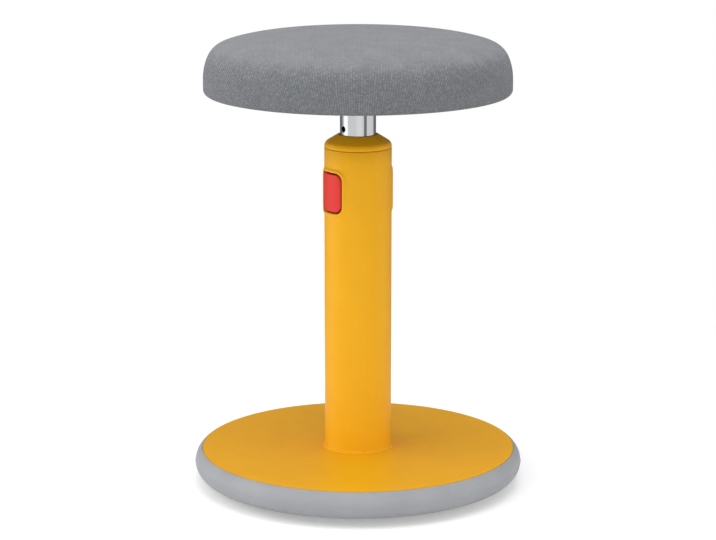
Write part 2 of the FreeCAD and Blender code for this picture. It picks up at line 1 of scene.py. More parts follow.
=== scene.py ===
"""Looks of the wobble stool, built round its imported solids.

Metres, +Z up, in the frame of the solids: the origin is the middle of the flat foot, on the floor.
"""
import json
import logging
import math
from dataclasses import dataclass
from enum import Enum
from typing import Any, Iterable, Protocol, Sequence

import bmesh
import bpy
import numpy as np
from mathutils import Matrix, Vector


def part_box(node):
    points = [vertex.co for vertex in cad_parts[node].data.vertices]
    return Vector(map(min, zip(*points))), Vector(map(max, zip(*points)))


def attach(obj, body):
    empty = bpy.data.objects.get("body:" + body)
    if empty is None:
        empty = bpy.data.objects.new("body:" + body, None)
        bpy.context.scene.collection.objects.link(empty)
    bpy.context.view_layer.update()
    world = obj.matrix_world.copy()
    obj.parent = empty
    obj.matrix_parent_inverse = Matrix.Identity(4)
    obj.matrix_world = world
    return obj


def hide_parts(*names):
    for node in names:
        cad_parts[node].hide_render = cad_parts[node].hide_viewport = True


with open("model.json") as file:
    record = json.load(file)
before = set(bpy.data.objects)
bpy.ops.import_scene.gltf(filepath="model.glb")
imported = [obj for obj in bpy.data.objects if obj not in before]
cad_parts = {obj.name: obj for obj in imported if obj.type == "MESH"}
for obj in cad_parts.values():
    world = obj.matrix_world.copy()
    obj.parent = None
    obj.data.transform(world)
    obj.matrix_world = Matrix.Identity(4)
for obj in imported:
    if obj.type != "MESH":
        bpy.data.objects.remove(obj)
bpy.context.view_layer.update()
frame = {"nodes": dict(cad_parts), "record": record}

LOG = logging.getLogger("stool")
MM = 0.001
IMAGE_WIDTH = 716
CAMERA_TURN = -33.0
BUTTON_MIDDLE = 335.6 * MM
WHITE = (1.0, 1.0, 1.0)
TINY = 1e-9

Point = tuple[float, float]
Colour = tuple[float, float, float]


class Side(Enum):
    """The two sides of the column that carry a release button."""

    LEFT = -1
    RIGHT = 1


class Direction(Enum):
    """Which way fine marks run, as what the noise's place is multiplied by."""

    ALONG_Z = (1.0, 1.0, 0.06)
    ALONG_X = (0.06, 1.0, 1.0)
    ALL_ROUND = (1.0, 1.0, 1.0)


# Shader arithmetic and nodes


class Value:
    """A number that varies over a surface. Arithmetic on it adds Math nodes."""

    def __init__(self, tree: bpy.types.NodeTree, socket: bpy.types.NodeSocket) -> None:
        """Wraps one output socket of a node tree."""
        self.tree = tree
        self.socket = socket

    def math(self, operation: str, *others: "Value | float", first: float | None = None) -> "Value":
        """Adds one Math node.

        Args:
            operation: the node's operation.
            others: the numbers or values that follow this one.
            first: a number that comes before this value.

        Returns:
            The node's result.
        """
        node = self.tree.nodes.new("ShaderNodeMath")
        node.operation = operation
        inputs: list[Value | float] = [self, *others]
        if first is not None:
            inputs.insert(0, first)
        for place, given in enumerate(inputs):
            if isinstance(given, Value):
                self.tree.links.new(given.socket, node.inputs[place])
            else:
                node.inputs[place].default_value = given
        return Value(self.tree, node.outputs[0])

    def __add__(self, other: "Value | float") -> "Value":
        """This plus other."""
        return self.math("ADD", other)

    __radd__ = __add__

    def __sub__(self, other: "Value | float") -> "Value":
        """This minus other."""
        return self.math("SUBTRACT", other)

    def __rsub__(self, other: float) -> "Value":
        """Other minus this."""
        return self.math("SUBTRACT", first=other)

    def __mul__(self, other: "Value | float") -> "Value":
        """This times other."""
        return self.math("MULTIPLY", other)

    __rmul__ = __mul__

    def __truediv__(self, other: "Value | float") -> "Value":
        """This divided by other."""
        return self.math("DIVIDE", other)

    def __rtruediv__(self, other: float) -> "Value":
        """Other divided by this."""
        return self.math("DIVIDE", first=other)

    def __pow__(self, other: "Value | float") -> "Value":
        """This to a power."""
        return self.math("POWER", other)

    def __rpow__(self, other: float) -> "Value":
        """Other to the power of this."""
        return self.math("POWER", first=other)

    def floor(self) -> "Value":
        """The whole number below this."""
        return self.math("FLOOR")

    def part(self) -> "Value":
        """What is left above the whole number below this."""
        return self.math("FRACT")

    def size(self) -> "Value":
        """This without its sign."""
        return self.math("ABSOLUTE")

    def sine(self) -> "Value":
        """The sine of this, as radians."""
        return self.math("SINE")

    def least(self, other: "Value | float") -> "Value":
        """The smaller of this and other."""
        return self.math("MINIMUM", other)

    def most(self, other: "Value | float") -> "Value":
        """The larger of this and other."""
        return self.math("MAXIMUM", other)

    def within(self) -> "Value":
        """This, held from 0 to 1."""
        return self.most(0.0).least(1.0)

    def reach(self, other: "Value") -> "Value":
        """How far from the middle a place is, with this and other as its two sides."""
        return (self * self + other * other).math("SQRT")

    def step(self, low: float, high: float) -> "Value":
        """Rises smoothly from 0 at low to 1 at high."""
        share = ((self - low) / (high - low)).within()
        return share * share * (3.0 - 2.0 * share)


class Nodes:
    """A node tree, built from node types, their settings and what their sockets take."""

    def __init__(self, tree: bpy.types.NodeTree) -> None:
        """Starts with an empty tree."""
        self.tree = tree
        self.tree.nodes.clear()

    def add(
        self, kind: str, settings: dict[str, Any] | None = None, sockets: dict[str | int, Any] | None = None
    ) -> bpy.types.Node:
        """Adds any node.

        Args:
            kind: the node's type.
            settings: its own settings, set first; "stops" is a colour ramp's list of place and colour.
            sockets: values, Value objects or output sockets, by input name or number.

        Returns:
            The node.
        """
        node = self.tree.nodes.new(kind)
        for name, setting in (settings or {}).items():
            if name == "stops":
                self._set_stops(node.color_ramp, setting)
            else:
                setattr(node, name, setting)
        for name, given in (sockets or {}).items():
            self.feed(node.inputs[name], given)
        return node

    def feed(self, socket: bpy.types.NodeSocket, given: Any) -> None:
        """Links or sets one input socket.

        Args:
            socket: the input.
            given: a Value, an output socket, a number, or a colour of three numbers.
        """
        if isinstance(given, Value):
            self.tree.links.new(given.socket, socket)
        elif isinstance(given, bpy.types.NodeSocket):
            self.tree.links.new(given, socket)
        elif isinstance(given, tuple) and socket.type == "RGBA":
            socket.default_value = (*given, 1.0)
        else:
            socket.default_value = given

    @staticmethod
    def _set_stops(ramp: bpy.types.ColorRamp, stops: Sequence[tuple[float, Colour]]) -> None:
        """Gives a colour ramp its stops.

        Args:
            ramp: the ramp, which has its first and last stop already.
            stops: place and colour of each.
        """
        while len(ramp.elements) < len(stops):
            ramp.elements.new(0.5)
        for element, (place, colour) in zip(ramp.elements, stops):
            element.position = place
            element.color = (*colour, 1.0)

    def value(self, node: bpy.types.Node, output: str | int = 0) -> Value:
        """One output of a node, for arithmetic."""
        return Value(self.tree, node.outputs[output])

    def parts(self, vector: bpy.types.NodeSocket) -> tuple[Value, Value, Value]:
        """The three numbers of a vector."""
        node = self.add("ShaderNodeSeparateXYZ", {}, {0: vector})
        return self.value(node, 0), self.value(node, 1), self.value(node, 2)

    def join(self, x: Value | float, y: Value | float, z: Value | float) -> bpy.types.NodeSocket:
        """A vector of three numbers."""
        return self.add("ShaderNodeCombineXYZ", {}, {0: x, 1: y, 2: z}).outputs[0]

    def stretch(self, vector: bpy.types.NodeSocket, by: tuple[float, float, float]) -> bpy.types.NodeSocket:
        """A vector times three numbers."""
        return self.add("ShaderNodeVectorMath", {"operation": "MULTIPLY"}, {0: vector, 1: by}).outputs[0]

    def noise(
        self, vector: bpy.types.NodeSocket, size: float, detail: float = 2.0, rough: float = 0.5
    ) -> Value:
        """Cloudy noise.

        Args:
            vector: where the surface point is.
            size: size of the clouds, in the vector's unit.
            detail: how many finer layers are added.
            rough: how strong the finer layers are.

        Returns:
            The noise, mostly between 0.3 and 0.7.
        """
        sockets = {"Vector": vector, "Scale": 1.0 / size, "Detail": detail, "Roughness": rough}
        return self.value(self.add("ShaderNodeTexNoise", {}, sockets))

    def cells(self, vector: bpy.types.NodeSocket, size: float) -> Value:
        """Distance to the middle of small cells, for moulded grain."""
        node = self.add("ShaderNodeTexVoronoi", {}, {"Vector": vector, "Scale": 1.0 / size})
        return self.value(node, "Distance")

    def speck(self, vector: bpy.types.NodeSocket) -> Value:
        """An even random number from 0 to 1 for each different vector."""
        return self.value(self.add("ShaderNodeTexWhiteNoise", {}, {"Vector": vector}))

    def blend(self, share: Value, first: Any, second: Any) -> bpy.types.NodeSocket:
        """A colour that goes from first to second as share goes from 0 to 1."""
        return self.add("ShaderNodeMix", {"data_type": "RGBA"}, {0: share, 6: first, 7: second}).outputs[2]

    def seen(self) -> tuple[Value, Value]:
        """Tells the kinds of rays apart.

        Returns:
            1 for rays from the camera, a mirror or clear stuff, and 1 for rays from a mirror alone.
        """
        path = self.add("ShaderNodeLightPath")
        mirrored = self.value(path, "Is Glossy Ray")
        clear = self.value(path, "Is Transmission Ray")
        return (self.value(path, "Is Camera Ray") + mirrored + clear).within(), mirrored


class Surface(Nodes):
    """The node tree of one material, with a Principled shader at its end."""

    def __init__(self, name: str) -> None:
        """Makes an empty material with its shader and output.

        Args:
            name: the material's name.
        """
        self.material = bpy.data.materials.new(name)
        self.material.use_nodes = True
        super().__init__(self.material.node_tree)
        self.shader = self.add("ShaderNodeBsdfPrincipled")
        self.output = self.add("ShaderNodeOutputMaterial", {}, {"Surface": self.shader.outputs[0]})

    def place(self) -> bpy.types.NodeSocket:
        """Where a point is in the frame of the solids, in metres."""
        return self.add("ShaderNodeTexCoord").outputs["Object"]

    def bump(self, height: Value, depth: float) -> bpy.types.NodeSocket:
        """A normal that follows a height from 0 to 1, which is depth metres."""
        sockets = {"Strength": 1.0, "Distance": depth, "Height": height}
        return self.add("ShaderNodeBump", {}, sockets).outputs[0]

    def finish(self, **sockets: Any) -> bpy.types.Material:
        """Feeds the shader.

        Args:
            sockets: what each input takes, by its name with underscores for spaces.

        Returns:
            The material.
        """
        for name, given in sockets.items():
            words = name.replace("_", " ")
            self.feed(self.shader.inputs[words], given)
        return self.material


# Finishes


class Finish(Protocol):
    """Anything that builds one material."""

    name: str

    def build(self) -> bpy.types.Material:
        """The material."""


@dataclass(frozen=True)
class MouldedPlastic:
    """Coloured plastic from a finely etched mould, with shade painted into its colour inside a radius, where
    a narrow gap shades it.
    """

    name: str
    colour: Colour
    deep_colour: Colour
    roughness: float = 0.42
    gloss: float = 0.22
    grain: float = 0.55 * MM
    grain_depth: float = 0.012 * MM
    speckle_size: float = 0.9 * MM
    flow_size: float = 14 * MM
    cloud_size: float = 38 * MM
    shade_painted_below: float = 0.0
    shade_painted_depth: float = 1.6 * MM
    shade_painted_colour: Colour = (0.2, 0.012, 0.004)

    def build(self) -> bpy.types.Material:
        """Grain of small cells, soft clouds of tone, slightly varied gloss, and painted shade inside a
        radius if one is given.

        Returns:
            The material.
        """
        surface = Surface(self.name)
        place = surface.place()
        fine = surface.cells(place, self.grain)
        cloud = surface.noise(place, self.cloud_size, 3.0)
        flow = surface.noise(surface.stretch(place, Direction.ALONG_Z.value), self.flow_size, 4.0)
        speckle = surface.noise(place, self.speckle_size)
        tone = (0.5 * cloud + 0.3 * flow + 0.2 * speckle).step(0.34, 0.66)
        shade = surface.blend(tone, self.deep_colour, self.colour)
        # Painted shade: the colour goes darker inside the given radius, where a narrow gap would be in
        # shade.
        if self.shade_painted_below > 0:
            x, y, _ = surface.parts(place)
            out = x.reach(y).step(self.shade_painted_below - self.shade_painted_depth, self.shade_painted_below)
            shade = surface.blend(out, self.shade_painted_colour, shade)
        return surface.finish(
            Base_Color=shade,
            Roughness=self.roughness + 0.1 * (cloud - 0.5) + 0.08 * (speckle - 0.5) + 0.05 * fine,
            Normal=surface.bump(0.7 * fine + 0.3 * speckle, self.grain_depth),
            Specular_IOR_Level=self.gloss,
        )


@dataclass(frozen=True)
class MouldedRubber:
    """Grey rubber with a fine matt skin and faint scuffs low down."""

    name: str
    colour: Colour
    deep_colour: Colour
    dust: Colour = (0.2, 0.19, 0.175)
    roughness: float = 0.55
    gloss: float = 0.35
    grain: float = 0.7 * MM
    grain_depth: float = 0.03 * MM
    cloud_size: float = 45 * MM
    scuff_size: float = 5 * MM
    scuff_height: float = 14 * MM
    scuff_stretch: tuple[float, float, float] = (0.25, 0.25, 1.6)

    def build(self) -> bpy.types.Material:
        """Fine grain, cloudy tone, and a trace of dust towards the floor.

        Returns:
            The material.
        """
        surface = Surface(self.name)
        place = surface.place()
        fine = surface.noise(place, self.grain, 3.0, 0.6)
        cloud = surface.noise(place, self.cloud_size, 3.0)
        marks = surface.noise(surface.stretch(place, self.scuff_stretch), self.scuff_size, 4.0, 0.65)
        low = 1.0 - surface.parts(place)[2].step(0.0, self.scuff_height)
        scuffs = low * marks.step(0.5, 0.72)
        tone = (0.65 * cloud + 0.35 * fine).step(0.36, 0.64)
        clean = surface.blend(tone, self.deep_colour, self.colour)
        return surface.finish(
            Base_Color=surface.blend(0.35 * scuffs, clean, self.dust),
            Roughness=self.roughness + 0.14 * (fine - 0.5) + 0.12 * scuffs,
            Normal=surface.bump(fine + 0.4 * scuffs, self.grain_depth),
            Specular_IOR_Level=self.gloss,
        )


@dataclass(frozen=True)
class Plate:
    """Bright or dull metal with fine marks in one direction."""

    name: str
    colour: Colour
    deep_colour: Colour
    roughness: float
    marks: Direction = Direction.ALL_ROUND
    clouds: float = 0.12
    mark_size: float = 0.8 * MM
    mark_depth: float = 0.004 * MM
    cloud_size: float = 22 * MM
    least_roughness: float = 0.03

    def build(self) -> bpy.types.Material:
        """Metal whose gloss and tone vary with fine marks and faint clouds.

        Returns:
            The material.
        """
        surface = Surface(self.name)
        place = surface.place()
        lines = surface.noise(surface.stretch(place, self.marks.value), self.mark_size, 4.0, 0.6)
        cloud = surface.noise(place, self.cloud_size, 3.0)
        tone = (0.55 * cloud + 0.45 * lines).step(0.35, 0.65)
        rough = self.roughness * (1.0 + 1.2 * (lines - 0.5)) + self.clouds * (cloud - 0.45).most(0.0)
        return surface.finish(
            Base_Color=surface.blend(tone, self.deep_colour, self.colour),
            Metallic=1.0,
            Roughness=rough.most(self.least_roughness),
            Normal=surface.bump(lines, self.mark_depth),
        )


@dataclass(frozen=True)
class Coating:
    """Powder coat or paint on steel, with orange peel."""

    name: str
    colour: Colour
    deep_colour: Colour
    roughness: float = 0.45
    peel: float = 1.6 * MM
    peel_depth: float = 0.05 * MM
    speckle_size: float = 0.35 * MM

    def build(self) -> bpy.types.Material:
        """Orange-peel bump, speckle and a slightly uneven gloss.

        Returns:
            The material.
        """
        surface = Surface(self.name)
        place = surface.place()
        peel = surface.noise(place, self.peel)
        fine = surface.noise(place, self.speckle_size)
        tone = (0.5 * peel + 0.5 * fine).step(0.35, 0.65)
        return surface.finish(
            Base_Color=surface.blend(tone, self.deep_colour, self.colour),
            Roughness=self.roughness + 0.2 * (fine - 0.5),
            Normal=surface.bump(peel + 0.3 * fine, self.peel_depth),
        )


@dataclass(frozen=True)
class Plywood:
    """Birch plywood: grain on the faces, glued layers on the edge."""

    name: str
    board_low: float
    board_thick: float
    layers: int = 9
    light: Colour = (0.66, 0.47, 0.27)
    deep: Colour = (0.47, 0.29, 0.14)
    end_grain: Colour = (0.36, 0.21, 0.1)
    pore: Colour = (0.25, 0.14, 0.07)
    grain_size: float = 3.2 * MM
    grain_depth: float = 0.06 * MM
    grain_stretch: float = 0.08
    pore_size: float = 0.5 * MM
    pore_stretch: float = 0.05
    roughness: float = 0.6

    def build(self) -> bpy.types.Material:
        """Long grain with fine pores, and a band for each layer.

        Returns:
            The material.
        """
        surface = Surface(self.name)
        place = surface.place()
        height = surface.parts(place)[2]
        layer = ((height - self.board_low) / (self.board_thick / self.layers)).floor()
        crossed = (layer * 0.5).part() * 2.0
        one_way = surface.stretch(place, (self.grain_stretch, 1.0, 1.0))
        other_way = surface.stretch(place, (1.0, self.grain_stretch, 1.0))
        along = surface.noise(one_way, self.grain_size, 5.0, 0.62)
        across = surface.noise(other_way, self.grain_size, 5.0, 0.62)
        grain = along + crossed * (across - along)
        pore_place = surface.stretch(place, (self.pore_stretch, 1.0, 1.0))
        pores = surface.noise(pore_place, self.pore_size).step(0.56, 0.7)
        pale = surface.blend(grain.step(0.36, 0.64), self.deep, self.light)
        wood = surface.blend(0.55 * crossed, pale, self.end_grain)
        return surface.finish(
            Base_Color=surface.blend(0.5 * pores, wood, self.pore),
            Roughness=self.roughness + 0.2 * (grain - 0.5),
            Normal=surface.bump(grain - 0.5 * pores, self.grain_depth),
        )


@dataclass(frozen=True)
class SpunSheet:
    """Thin pressed-fibre dust sheet, point-bonded in a fine grid."""

    name: str
    light: Colour = (0.045, 0.045, 0.048)
    dark: Colour = (0.018, 0.018, 0.02)
    pitch: float = 1.6 * MM
    fibre_size: float = 0.6 * MM
    fibre_depth: float = 0.15 * MM
    roughness: float = 0.85

    def build(self) -> bpy.types.Material:
        """Tangled fibres with a grid of small bonded points.

        Returns:
            The material.
        """
        surface = Surface(self.name)
        place = surface.place()
        x, y, _ = surface.parts(place)
        across = ((x / self.pitch).part() - 0.5).size()
        along = ((y / self.pitch).part() - 0.5).size()
        points = 1.0 - across.most(along).step(0.18, 0.26)
        fibres = surface.noise(surface.stretch(place, (1.0, 0.35, 1.0)), self.fibre_size, 4.0, 0.7)
        return surface.finish(
            Base_Color=surface.blend(fibres.step(0.38, 0.62), self.dark, self.light),
            Roughness=self.roughness - 0.2 * points,
            Normal=surface.bump(fibres - 0.6 * points, self.fibre_depth),
        )


@dataclass(frozen=True)
class KnitCover:
    """Heathered knit, laid flat over the top of the pad and drawn down its side.

    It reads the mesh attribute that holds where each point lies on the flat cloth.
    """

    name: str
    attribute: str
    dark: Colour
    middle: Colour
    light: Colour
    wale: float = 2.9 * MM
    course: float = 1.7 * MM
    strand_size: float = 5 * MM
    streak_size: float = 1.3 * MM
    drift_size: float = 16 * MM
    cloud_size: float = 30 * MM
    stitch_depth: float = 0.32 * MM
    roughness: float = 0.86
    gloss: float = 0.2
    sheen: float = 0.1
    sheen_roughness: float = 0.45
    side_shade: float = 0.36
    side_contrast: float = 1.35
    top_contrast: float = 0.35
    unlike_rows: float = 9.7

    def build(self) -> bpy.types.Material:
        """Columns of small V-shaped stitches in yarn of three greys, with painted shade in the hollows
        between stitches and on the side, which is painted darker than the top.

        Returns:
            The material.
        """
        surface = Surface(self.name)
        cloth = surface.add("ShaderNodeAttribute", {"attribute_name": self.attribute}).outputs["Vector"]
        drift = surface.noise(cloth, self.drift_size) - 0.5
        u, v, _ = surface.parts(cloth)
        column = u / self.wale + 0.5 * drift
        across = column.part() - 0.5
        row = v / self.course + 1.1 * across.size() + 0.35 * drift
        stitch = surface.join(column.floor() + 0.5 * (across + 0.5).floor(), row.floor(), 0.0)
        yarn = surface.speck(stitch)
        thread = surface.join(column.floor() * self.unlike_rows, v, 0.0)
        strand = surface.noise(thread, self.strand_size, 3.0, 0.6)
        streak = surface.noise(surface.stretch(cloth, (1.0, 0.4, 1.0)), self.streak_size)
        cloud = surface.noise(cloth, self.cloud_size)
        split = 1.0 - 0.25 * (1.0 - (across.size() * 8.0).least(1.0))
        hump = ((0.5 - across.size()) * math.pi).sine() * split
        bead = (row.part() * math.pi).sine().size()
        loop = hump ** 0.6 * (0.55 + 0.45 * bead)
        normal = surface.add("ShaderNodeNewGeometry").outputs["Normal"]
        flat = surface.parts(normal)[2].step(0.2, 0.95)
        contrast = self.side_contrast - (self.side_contrast - self.top_contrast) * flat
        fleck = 0.24 * (yarn - 0.5) + 0.3 * (strand - 0.5) + 0.2 * (streak - 0.5)
        mix = 0.5 + contrast * fleck + 0.16 * (cloud - 0.5)
        greys = [(0.26, self.dark), (0.5, self.middle), (0.74, self.light)]
        heather = surface.add("ShaderNodeValToRGB", {"stops": greys}, {0: mix}).outputs[0]
        # Painted shade: the colour goes towards the darkest grey in the hollows between stitches, more so on
        # the side, and by side_shade where the surface faces sideways rather than up.
        hollow = contrast * 0.62 * (1.0 - loop) + self.side_shade * (1.0 - flat)
        return surface.finish(
            Base_Color=surface.blend(hollow, heather, self.dark),
            Roughness=self.roughness + 0.1 * (yarn - 0.5),
            Normal=surface.bump(loop + 0.3 * streak, self.stitch_depth),
            Specular_IOR_Level=self.gloss,
            Sheen_Weight=self.sheen,
            Sheen_Roughness=self.sheen_roughness,
        )


class Palette:
    """Every finish of the stool, by the record's material slot."""

    FLAT_CLOTH = "flat_cloth"

    def __init__(self, board_low: float, board_thick: float) -> None:
        """Builds all materials.

        Args:
            board_low: the board's underside, in metres.
            board_thick: the board's thickness.
        """
        upright = Direction.ALONG_Z
        red_tones = (0.8, 0.045, 0.035), (0.74, 0.036, 0.028)
        knit_greys = (0.13, 0.137, 0.148), (0.24, 0.248, 0.264), (0.38, 0.39, 0.406)
        finishes: list[Finish] = [
            MouldedRubber("sole_rubber", (0.355, 0.364, 0.38), (0.325, 0.334, 0.35)),
            MouldedPlastic("yellow_plastic", (0.87, 0.43, 0.0075), (0.84, 0.405, 0.006)),
            # The red gets painted shade inside a radius of 38.1 mm, on the skirt in the gap round the
            # button.
            MouldedPlastic("red_plastic", *red_tones, 0.36, shade_painted_below=38.1 * MM),
            MouldedPlastic("guide_plastic", (0.72, 0.71, 0.67), (0.64, 0.63, 0.58), 0.5),
            Plate("chrome", (0.58, 0.587, 0.602), (0.55, 0.557, 0.572), 0.06, upright, 0.05),
            Plate("rod_steel", (0.66, 0.66, 0.67), (0.6, 0.6, 0.61), 0.12, upright),
            Plate("post_steel", (0.45, 0.45, 0.46), (0.32, 0.32, 0.335), 0.32, upright),
            Plate("lever_steel", (0.5, 0.49, 0.46), (0.38, 0.37, 0.35), 0.35, Direction.ALONG_X),
            Plate("ballast_steel", (0.2, 0.2, 0.205), (0.1, 0.1, 0.105), 0.42),
            Plate("fastener_steel", (0.6, 0.6, 0.59), (0.42, 0.42, 0.42), 0.3),
            Plate("spring_wire", (0.42, 0.42, 0.43), (0.3, 0.3, 0.31), 0.28),
            Coating("spring_housing", (0.02, 0.02, 0.022), (0.012, 0.012, 0.014), 0.3),
            Coating("plate_steel", (0.028, 0.028, 0.03), (0.016, 0.016, 0.018)),
            Plywood("plywood", board_low, board_thick),
            KnitCover("knit_fabric", self.FLAT_CLOTH, *knit_greys),
            SpunSheet("dust_fabric"),
        ]
        self.materials = {finish.name: finish.build() for finish in finishes}

    def dress(self, piece: bpy.types.Object, slot: str) -> None:
        """Gives one new piece its finish.

        Args:
            piece: the piece.
            slot: the record's material slot, which is also the finish's name.
        """
        piece.data.materials.clear()
        piece.data.materials.append(self.materials[slot])

    def dress_node(self, node: bpy.types.Object, slot: str) -> None:
        """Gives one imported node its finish.

        Args:
            node: the node's object.
            slot: the record's material slot.
        """
        for place in node.material_slots:
            place.link = "DATA"
            place.material = self.materials[slot]


# Shapes


def arc(start: Point, curve: float, first: float, last: float, count: int) -> list[Point]:
    """Points of a round curve that leans in from upright.

    Args:
        start: radius and height of its first point.
        curve: its radius.
        first: where it starts, in degrees from upright.
        last: where it ends, in degrees from upright.
        count: how many steps it has.

    Returns:
        Radius and height of each point.
    """
    begin = math.radians(first)
    points = []
    for step in range(count + 1):
        angle = math.radians(first + (last - first) * step / count)
        inward = curve * (math.cos(begin) - math.cos(angle))
        points.append((start[0] - inward, start[1] + curve * (math.sin(angle) - math.sin(begin))))
    return points


def arc_to(upright: Point, end: Point, count: int) -> list[Point]:
    """Points of the round curve that leaves one point straight up or down and reaches another.

    Args:
        upright: radius and height of the point that it leaves.
        end: radius and height of the point that it reaches.
        count: how many steps it has.

    Returns:
        Radius and height of each point.
    """
    across = upright[0] - end[0]
    along = end[1] - upright[1]
    curve = (across ** 2 + along ** 2) / (2 * across)
    return arc(upright, curve, 0, math.degrees(math.asin(along / curve)), count)


def softened(outline: Sequence[Point], edges: dict[int, float], count: int = 4) -> list[Point]:
    """An outline with some corners rounded.

    Args:
        outline: radius and height of each corner of a closed outline.
        edges: the rounding of a corner, by its number.
        count: how many steps each rounding has.

    Returns:
        The new outline.
    """
    points: list[Point] = []
    for index, corner in enumerate(outline):
        if index not in edges:
            points.append(corner)
            continue
        here = Vector(corner)
        before = (Vector(outline[index - 1]) - here).normalized() * edges[index]
        after = (Vector(outline[(index + 1) % len(outline)]) - here).normalized() * edges[index]
        for step in range(count + 1):
            share = step / count
            place = here + before * (1 - share) ** 2 + after * share ** 2
            points.append((place.x, place.y))
    return points


def even(points: Sequence[Point], count: int) -> list[Point]:
    """The same line with its points at even distances.

    Args:
        points: the line.
        count: how many steps the new one has.

    Returns:
        The new line.
    """
    line = np.array(points)
    along = np.concatenate([[0.0], np.cumsum(np.linalg.norm(np.diff(line, axis=0), axis=1))])
    places = np.linspace(0.0, along[-1], count + 1)
    radii, heights = (np.interp(places, along, line[:, side]) for side in (0, 1))
    return list(zip(radii.tolist(), heights.tolist()))


def circle(
    radius: float, height: float, count: int, turn: float = 0.0, middle: Point = (0.0, 0.0)
) -> list[Vector]:
    """Evenly spaced points of a level circle.

    Args:
        radius: its radius.
        height: its height.
        count: how many points it has.
        turn: how far its first point is turned, in radians.
        middle: where its middle is.

    Returns:
        The points.
    """
    angles = [turn + 2 * math.pi * step / count for step in range(count)]
    x, y = middle
    return [Vector((x + radius * math.cos(a), y + radius * math.sin(a), height)) for a in angles]


def levels(numbers: Iterable[float]) -> list[float]:
    """The different ones among these numbers, in order, to a nanometre."""
    return sorted({round(number, 9) for number in numbers})


class Shape:
    """Collects the points and faces of one mesh, in metres."""

    def __init__(self) -> None:
        """Starts with no points."""
        self.points: list[Vector] = []
        self.faces: list[tuple[int, ...]] = []

    def ring(self, points: Iterable[Vector]) -> list[int]:
        """Adds points.

        Args:
            points: the points.

        Returns:
            Their numbers.
        """
        first = len(self.points)
        self.points.extend(points)
        return list(range(first, len(self.points)))

    def join(self, low: Sequence[int], high: Sequence[int]) -> None:
        """Adds faces between two rings of as many points.

        Args:
            low: the numbers of one ring's points.
            high: the numbers of the other's.
        """
        for here in range(len(low)):
            after = (here + 1) % len(low)
            self.faces.append((low[here], low[after], high[after], high[here]))

    def join_squares(self, small: Sequence[int], large: Sequence[int]) -> None:
        """Adds four-sided faces between a ring of 8k points and one of 8 more, as on a square grid.

        Args:
            small: the numbers of the inner ring's points, or of the middle point alone.
            large: the numbers of the outer ring's points.
        """
        if len(small) == 1:
            for k in range(0, 8, 2):
                self.faces.append((small[0], large[k], large[k + 1], large[(k + 2) % 8]))
            return
        inner, outer = len(small) // 4, len(large) // 4
        half = (outer - inner) // 2
        for quarter in range(4):
            for k in range(inner):
                near = quarter * inner + k
                far = quarter * outer + k + half
                low = (large[far % len(large)], large[(far + 1) % len(large)])
                self.faces.append((small[near], *low, small[(near + 1) % len(small)]))
            corner = quarter * outer
            before, after = large[(corner - half) % len(large)], large[(corner + half) % len(large)]
            self.faces.append((small[quarter * inner], before, large[corner], after))

    def fan(self, ring: Sequence[int], middle: Vector, inward: bool = False) -> None:
        """Closes a ring with triangles to one point in its middle.

        Args:
            ring: the numbers of its points.
            middle: the point.
            inward: whether the triangles face the other way.
        """
        centre = self.ring([middle])[0]
        for here in range(len(ring)):
            edge = (ring[here], ring[(here + 1) % len(ring)])
            self.faces.append((edge[1], edge[0], centre) if inward else (edge[0], edge[1], centre))

    def close(self, first: Sequence[int], last: Sequence[int]) -> None:
        """Puts one flat face on each end of a tube, whose first and last rings these are."""
        self.faces.append(tuple(reversed(first)))
        self.faces.append(tuple(last))

    def build(self, name: str, sharp: float = 40.0) -> bpy.types.Object:
        """Makes the object.

        Args:
            name: the piece's name.
            sharp: edges that turn more than this many degrees stay sharp.

        Returns:
            The new object, linked to the scene.
        """
        mesh = bpy.data.meshes.new(name)
        mesh.from_pydata([tuple(p) for p in self.points], [], self.faces)
        edit = bmesh.new()
        edit.from_mesh(mesh)
        bmesh.ops.remove_doubles(edit, verts=edit.verts, dist=1e-7)
        bmesh.ops.recalc_face_normals(edit, faces=edit.faces)
        edit.to_mesh(mesh)
        edit.free()
        for polygon in mesh.polygons:
            polygon.use_smooth = True
        mesh.set_sharp_from_angle(angle=math.radians(sharp))
        piece = bpy.data.objects.new(name, mesh)
        bpy.context.scene.collection.objects.link(piece)
        return piece


def turned(name: str, outline: Sequence[Point], segments: int, sharp: float) -> bpy.types.Object:
    """The piece that a closed outline sweeps round the axis.

    Args:
        name: the piece's name.
        outline: radius and height of each corner; a radius of 0 is on the axis.
        segments: how many steps a turn has.
        sharp: edges that turn more than this many degrees stay sharp.

    Returns:
        The new object.
    """
    shape = Shape()
    rings = [shape.ring(circle(radius, height, segments)) for radius, height in outline]
    for index, ring in enumerate(rings):
        following = (index + 1) % len(rings)
        if outline[index][0] > 0 or outline[following][0] > 0:
            shape.join(ring, rings[following])
    return shape.build(name, sharp)


def baked(piece: bpy.types.Object) -> bpy.types.Object:
    """Applies all modifiers of a piece to its mesh.

    Args:
        piece: the piece.

    Returns:
        The same piece.
    """
    graph = bpy.context.evaluated_depsgraph_get()
    mesh = bpy.data.meshes.new_from_object(piece.evaluated_get(graph), depsgraph=graph)
    piece.modifiers.clear()
    piece.data = mesh
    return piece


# Sub-assemblies


class Assembly(Protocol):
    """Anything that builds pieces of the stool."""

    def build(self, palette: Palette) -> list[bpy.types.Object]:
        """The new pieces, dressed from the palette."""


